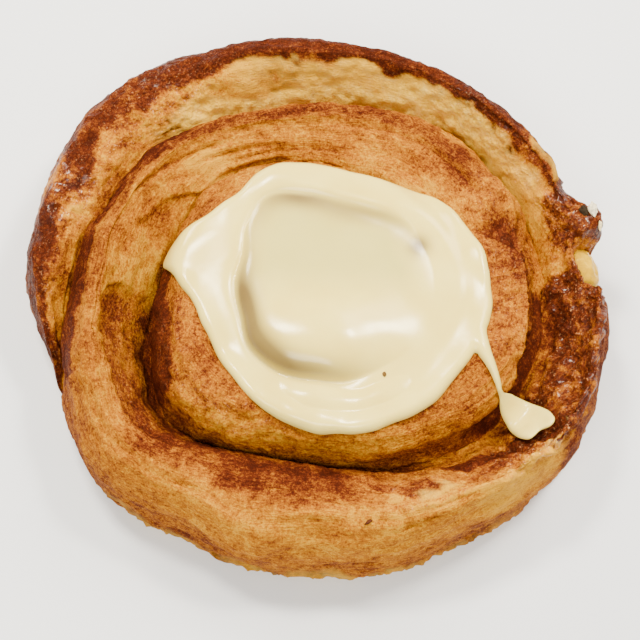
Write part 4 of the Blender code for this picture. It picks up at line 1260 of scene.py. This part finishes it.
# name, middle from the coil's middle in mm, half sizes in mm, degrees turned, colour
CRUMBS = (
    ("dry_flake_back", (50.9, 15.7, 23.4), (0.75, 1.25, 0.55), 8, (0.86, 0.76, 0.52)),
    ("dry_flake_side", (52.2, 12.7, 22.8), (0.34, 0.9, 0.45), -6, (0.9, 0.74, 0.4)),
    ("burnt_bit", (49.3, 15.5, 23.2), (0.75, 1.05, 0.45), 28, (0.024, 0.014, 0.006)),
    ("dark_crumb", (9.2, -43.1, 21.5), (0.75, 0.28, 0.24), 32, (0.085, 0.022, 0.006)),
    ("brown_speck", (*SPECK_PLACE, speck_height), (0.42, 0.4, 0.22), 0, (0.16, 0.085, 0.022)),
)
CRUMB_DENTS = 0.3


def crumb_points(middle, half_sizes, turned, seed):
    """A unit ball, dented by noise of about a quarter of its size, times the half sizes, turned about Z."""
    polar, around = round_grid(0.05, 24, 40)
    x, y = np.sin(polar) * np.cos(around), np.sin(polar) * np.sin(around)
    ball = np.stack([x, y, np.cos(polar) + 0 * around], -1)
    local = ball * (1 + CRUMB_DENTS * layered_noise(ball, 0.9, seed, 3)[..., None]) * np.array(half_sizes)
    c, s = math.cos(math.radians(turned)), math.sin(math.radians(turned))
    turning = np.array([[c, s, 0], [-s, c, 0], [0, 0, 1.0]])
    return local @ turning + np.array([*COIL_CENTRE, 0]) + np.array(middle)


def crumb_finish(name, colour):
    """A dry matt crumb whose colour darkens by half in its pits."""
    f = Finish(name + "_finish")
    pits = tuple(0.5 * c for c in colour)
    f.surface(Base_Color=f.ramp(f.grain(0.5, 3.0, 0.6), ((0.3, pits), (0.6, colour))))
    f.surface(Roughness=0.7, Specular_IOR_Level=0.1)
    return f.material


for number, (name, middle, half_sizes, turned, colour) in enumerate(CRUMBS):
    crumb = add_piece(name, *capped_tube(crumb_points(middle, half_sizes, turned, 201 + number)))
    crumb.data.materials.append(crumb_finish(name, colour))
print("crumbs", len(CRUMBS))

# %% [markdown]
# ## Floor and light
# The floor is plain and pale. The photo was lit softly from all round, with two lamps overhead whose
# reflections sit on the icing's swelling. So there are two lamps, a broad window behind on the right, a low
# light behind on the left that brings out the relief, and a broad fill from the front.

# %% Floor
FLOOR_HALF_SIDE = 900.0
FLOOR_DEPTH = 0.05


def studio_floor():
    """A large flat sheet under the pastry, in an almost white paper finish."""
    corners = np.array([(-1, -1, 0), (1, -1, 0), (1, 1, 0), (-1, 1, 0)]) * FLOOR_HALF_SIDE
    corners[:, 2] = -FLOOR_DEPTH
    mesh = bpy.data.meshes.new("floor")
    mesh.from_pydata((corners * MM).tolist(), [], [(0, 1, 2, 3)])
    floor = put_in_scene("floor", mesh)
    f = Finish("floor_paper")
    f.surface(Base_Color=(0.86, 0.9, 0.98, 1.0), Roughness=0.9)
    mesh.materials.append(f.material)


studio_floor()

# %% Lights
# name, place in mm, width and depth in mm, watts, colour
LIGHTS = (
    ("window", (340, 350, 440), (300, 280), 4.1, (1.0, 0.94, 0.82)),
    ("lamp_left", (-110, 190, 540), (105, 82), 3.7, (1.0, 0.91, 0.74)),
    ("lamp_right", (270, 190, 540), (105, 82), 3.7, (1.0, 0.91, 0.74)),
    ("back_left", (-280, 350, 310), (140, 140), 2.5, (1.0, 0.9, 0.72)),
    ("front_fill", (-90, -350, 560), (320, 240), 3.9, (1.0, 0.93, 0.79)),
)
LIT_POINT = np.array([0, 0, 0.012])
ROOM_COLOUR = (1.0, 0.955, 0.87, 1.0)
ROOM_STRENGTH = 0.62


def add_light(name, place, size, watts, colour):
    """An area light that faces the pastry's middle."""
    data = bpy.data.lights.new(name, "AREA")
    data.shape = "RECTANGLE"
    data.size, data.size_y = size[0] * MM, size[1] * MM
    data.energy = watts
    data.color = colour
    light = put_in_scene(name, data)
    light.location = np.array(place, float) * MM
    x, y, z = LIT_POINT - np.array(place, float) * MM
    light.rotation_euler = (math.atan2(math.hypot(x, y), -z), 0, math.atan2(x, -y) + math.pi)


for light in LIGHTS:
    add_light(*light)
world = bpy.data.worlds.new("soft_room")
world.use_nodes = True
room = world.node_tree.nodes["Background"]
room.inputs["Color"].default_value = ROOM_COLOUR
room.inputs["Strength"].default_value = ROOM_STRENGTH
bpy.context.scene.world = world
print("lights", len(LIGHTS))
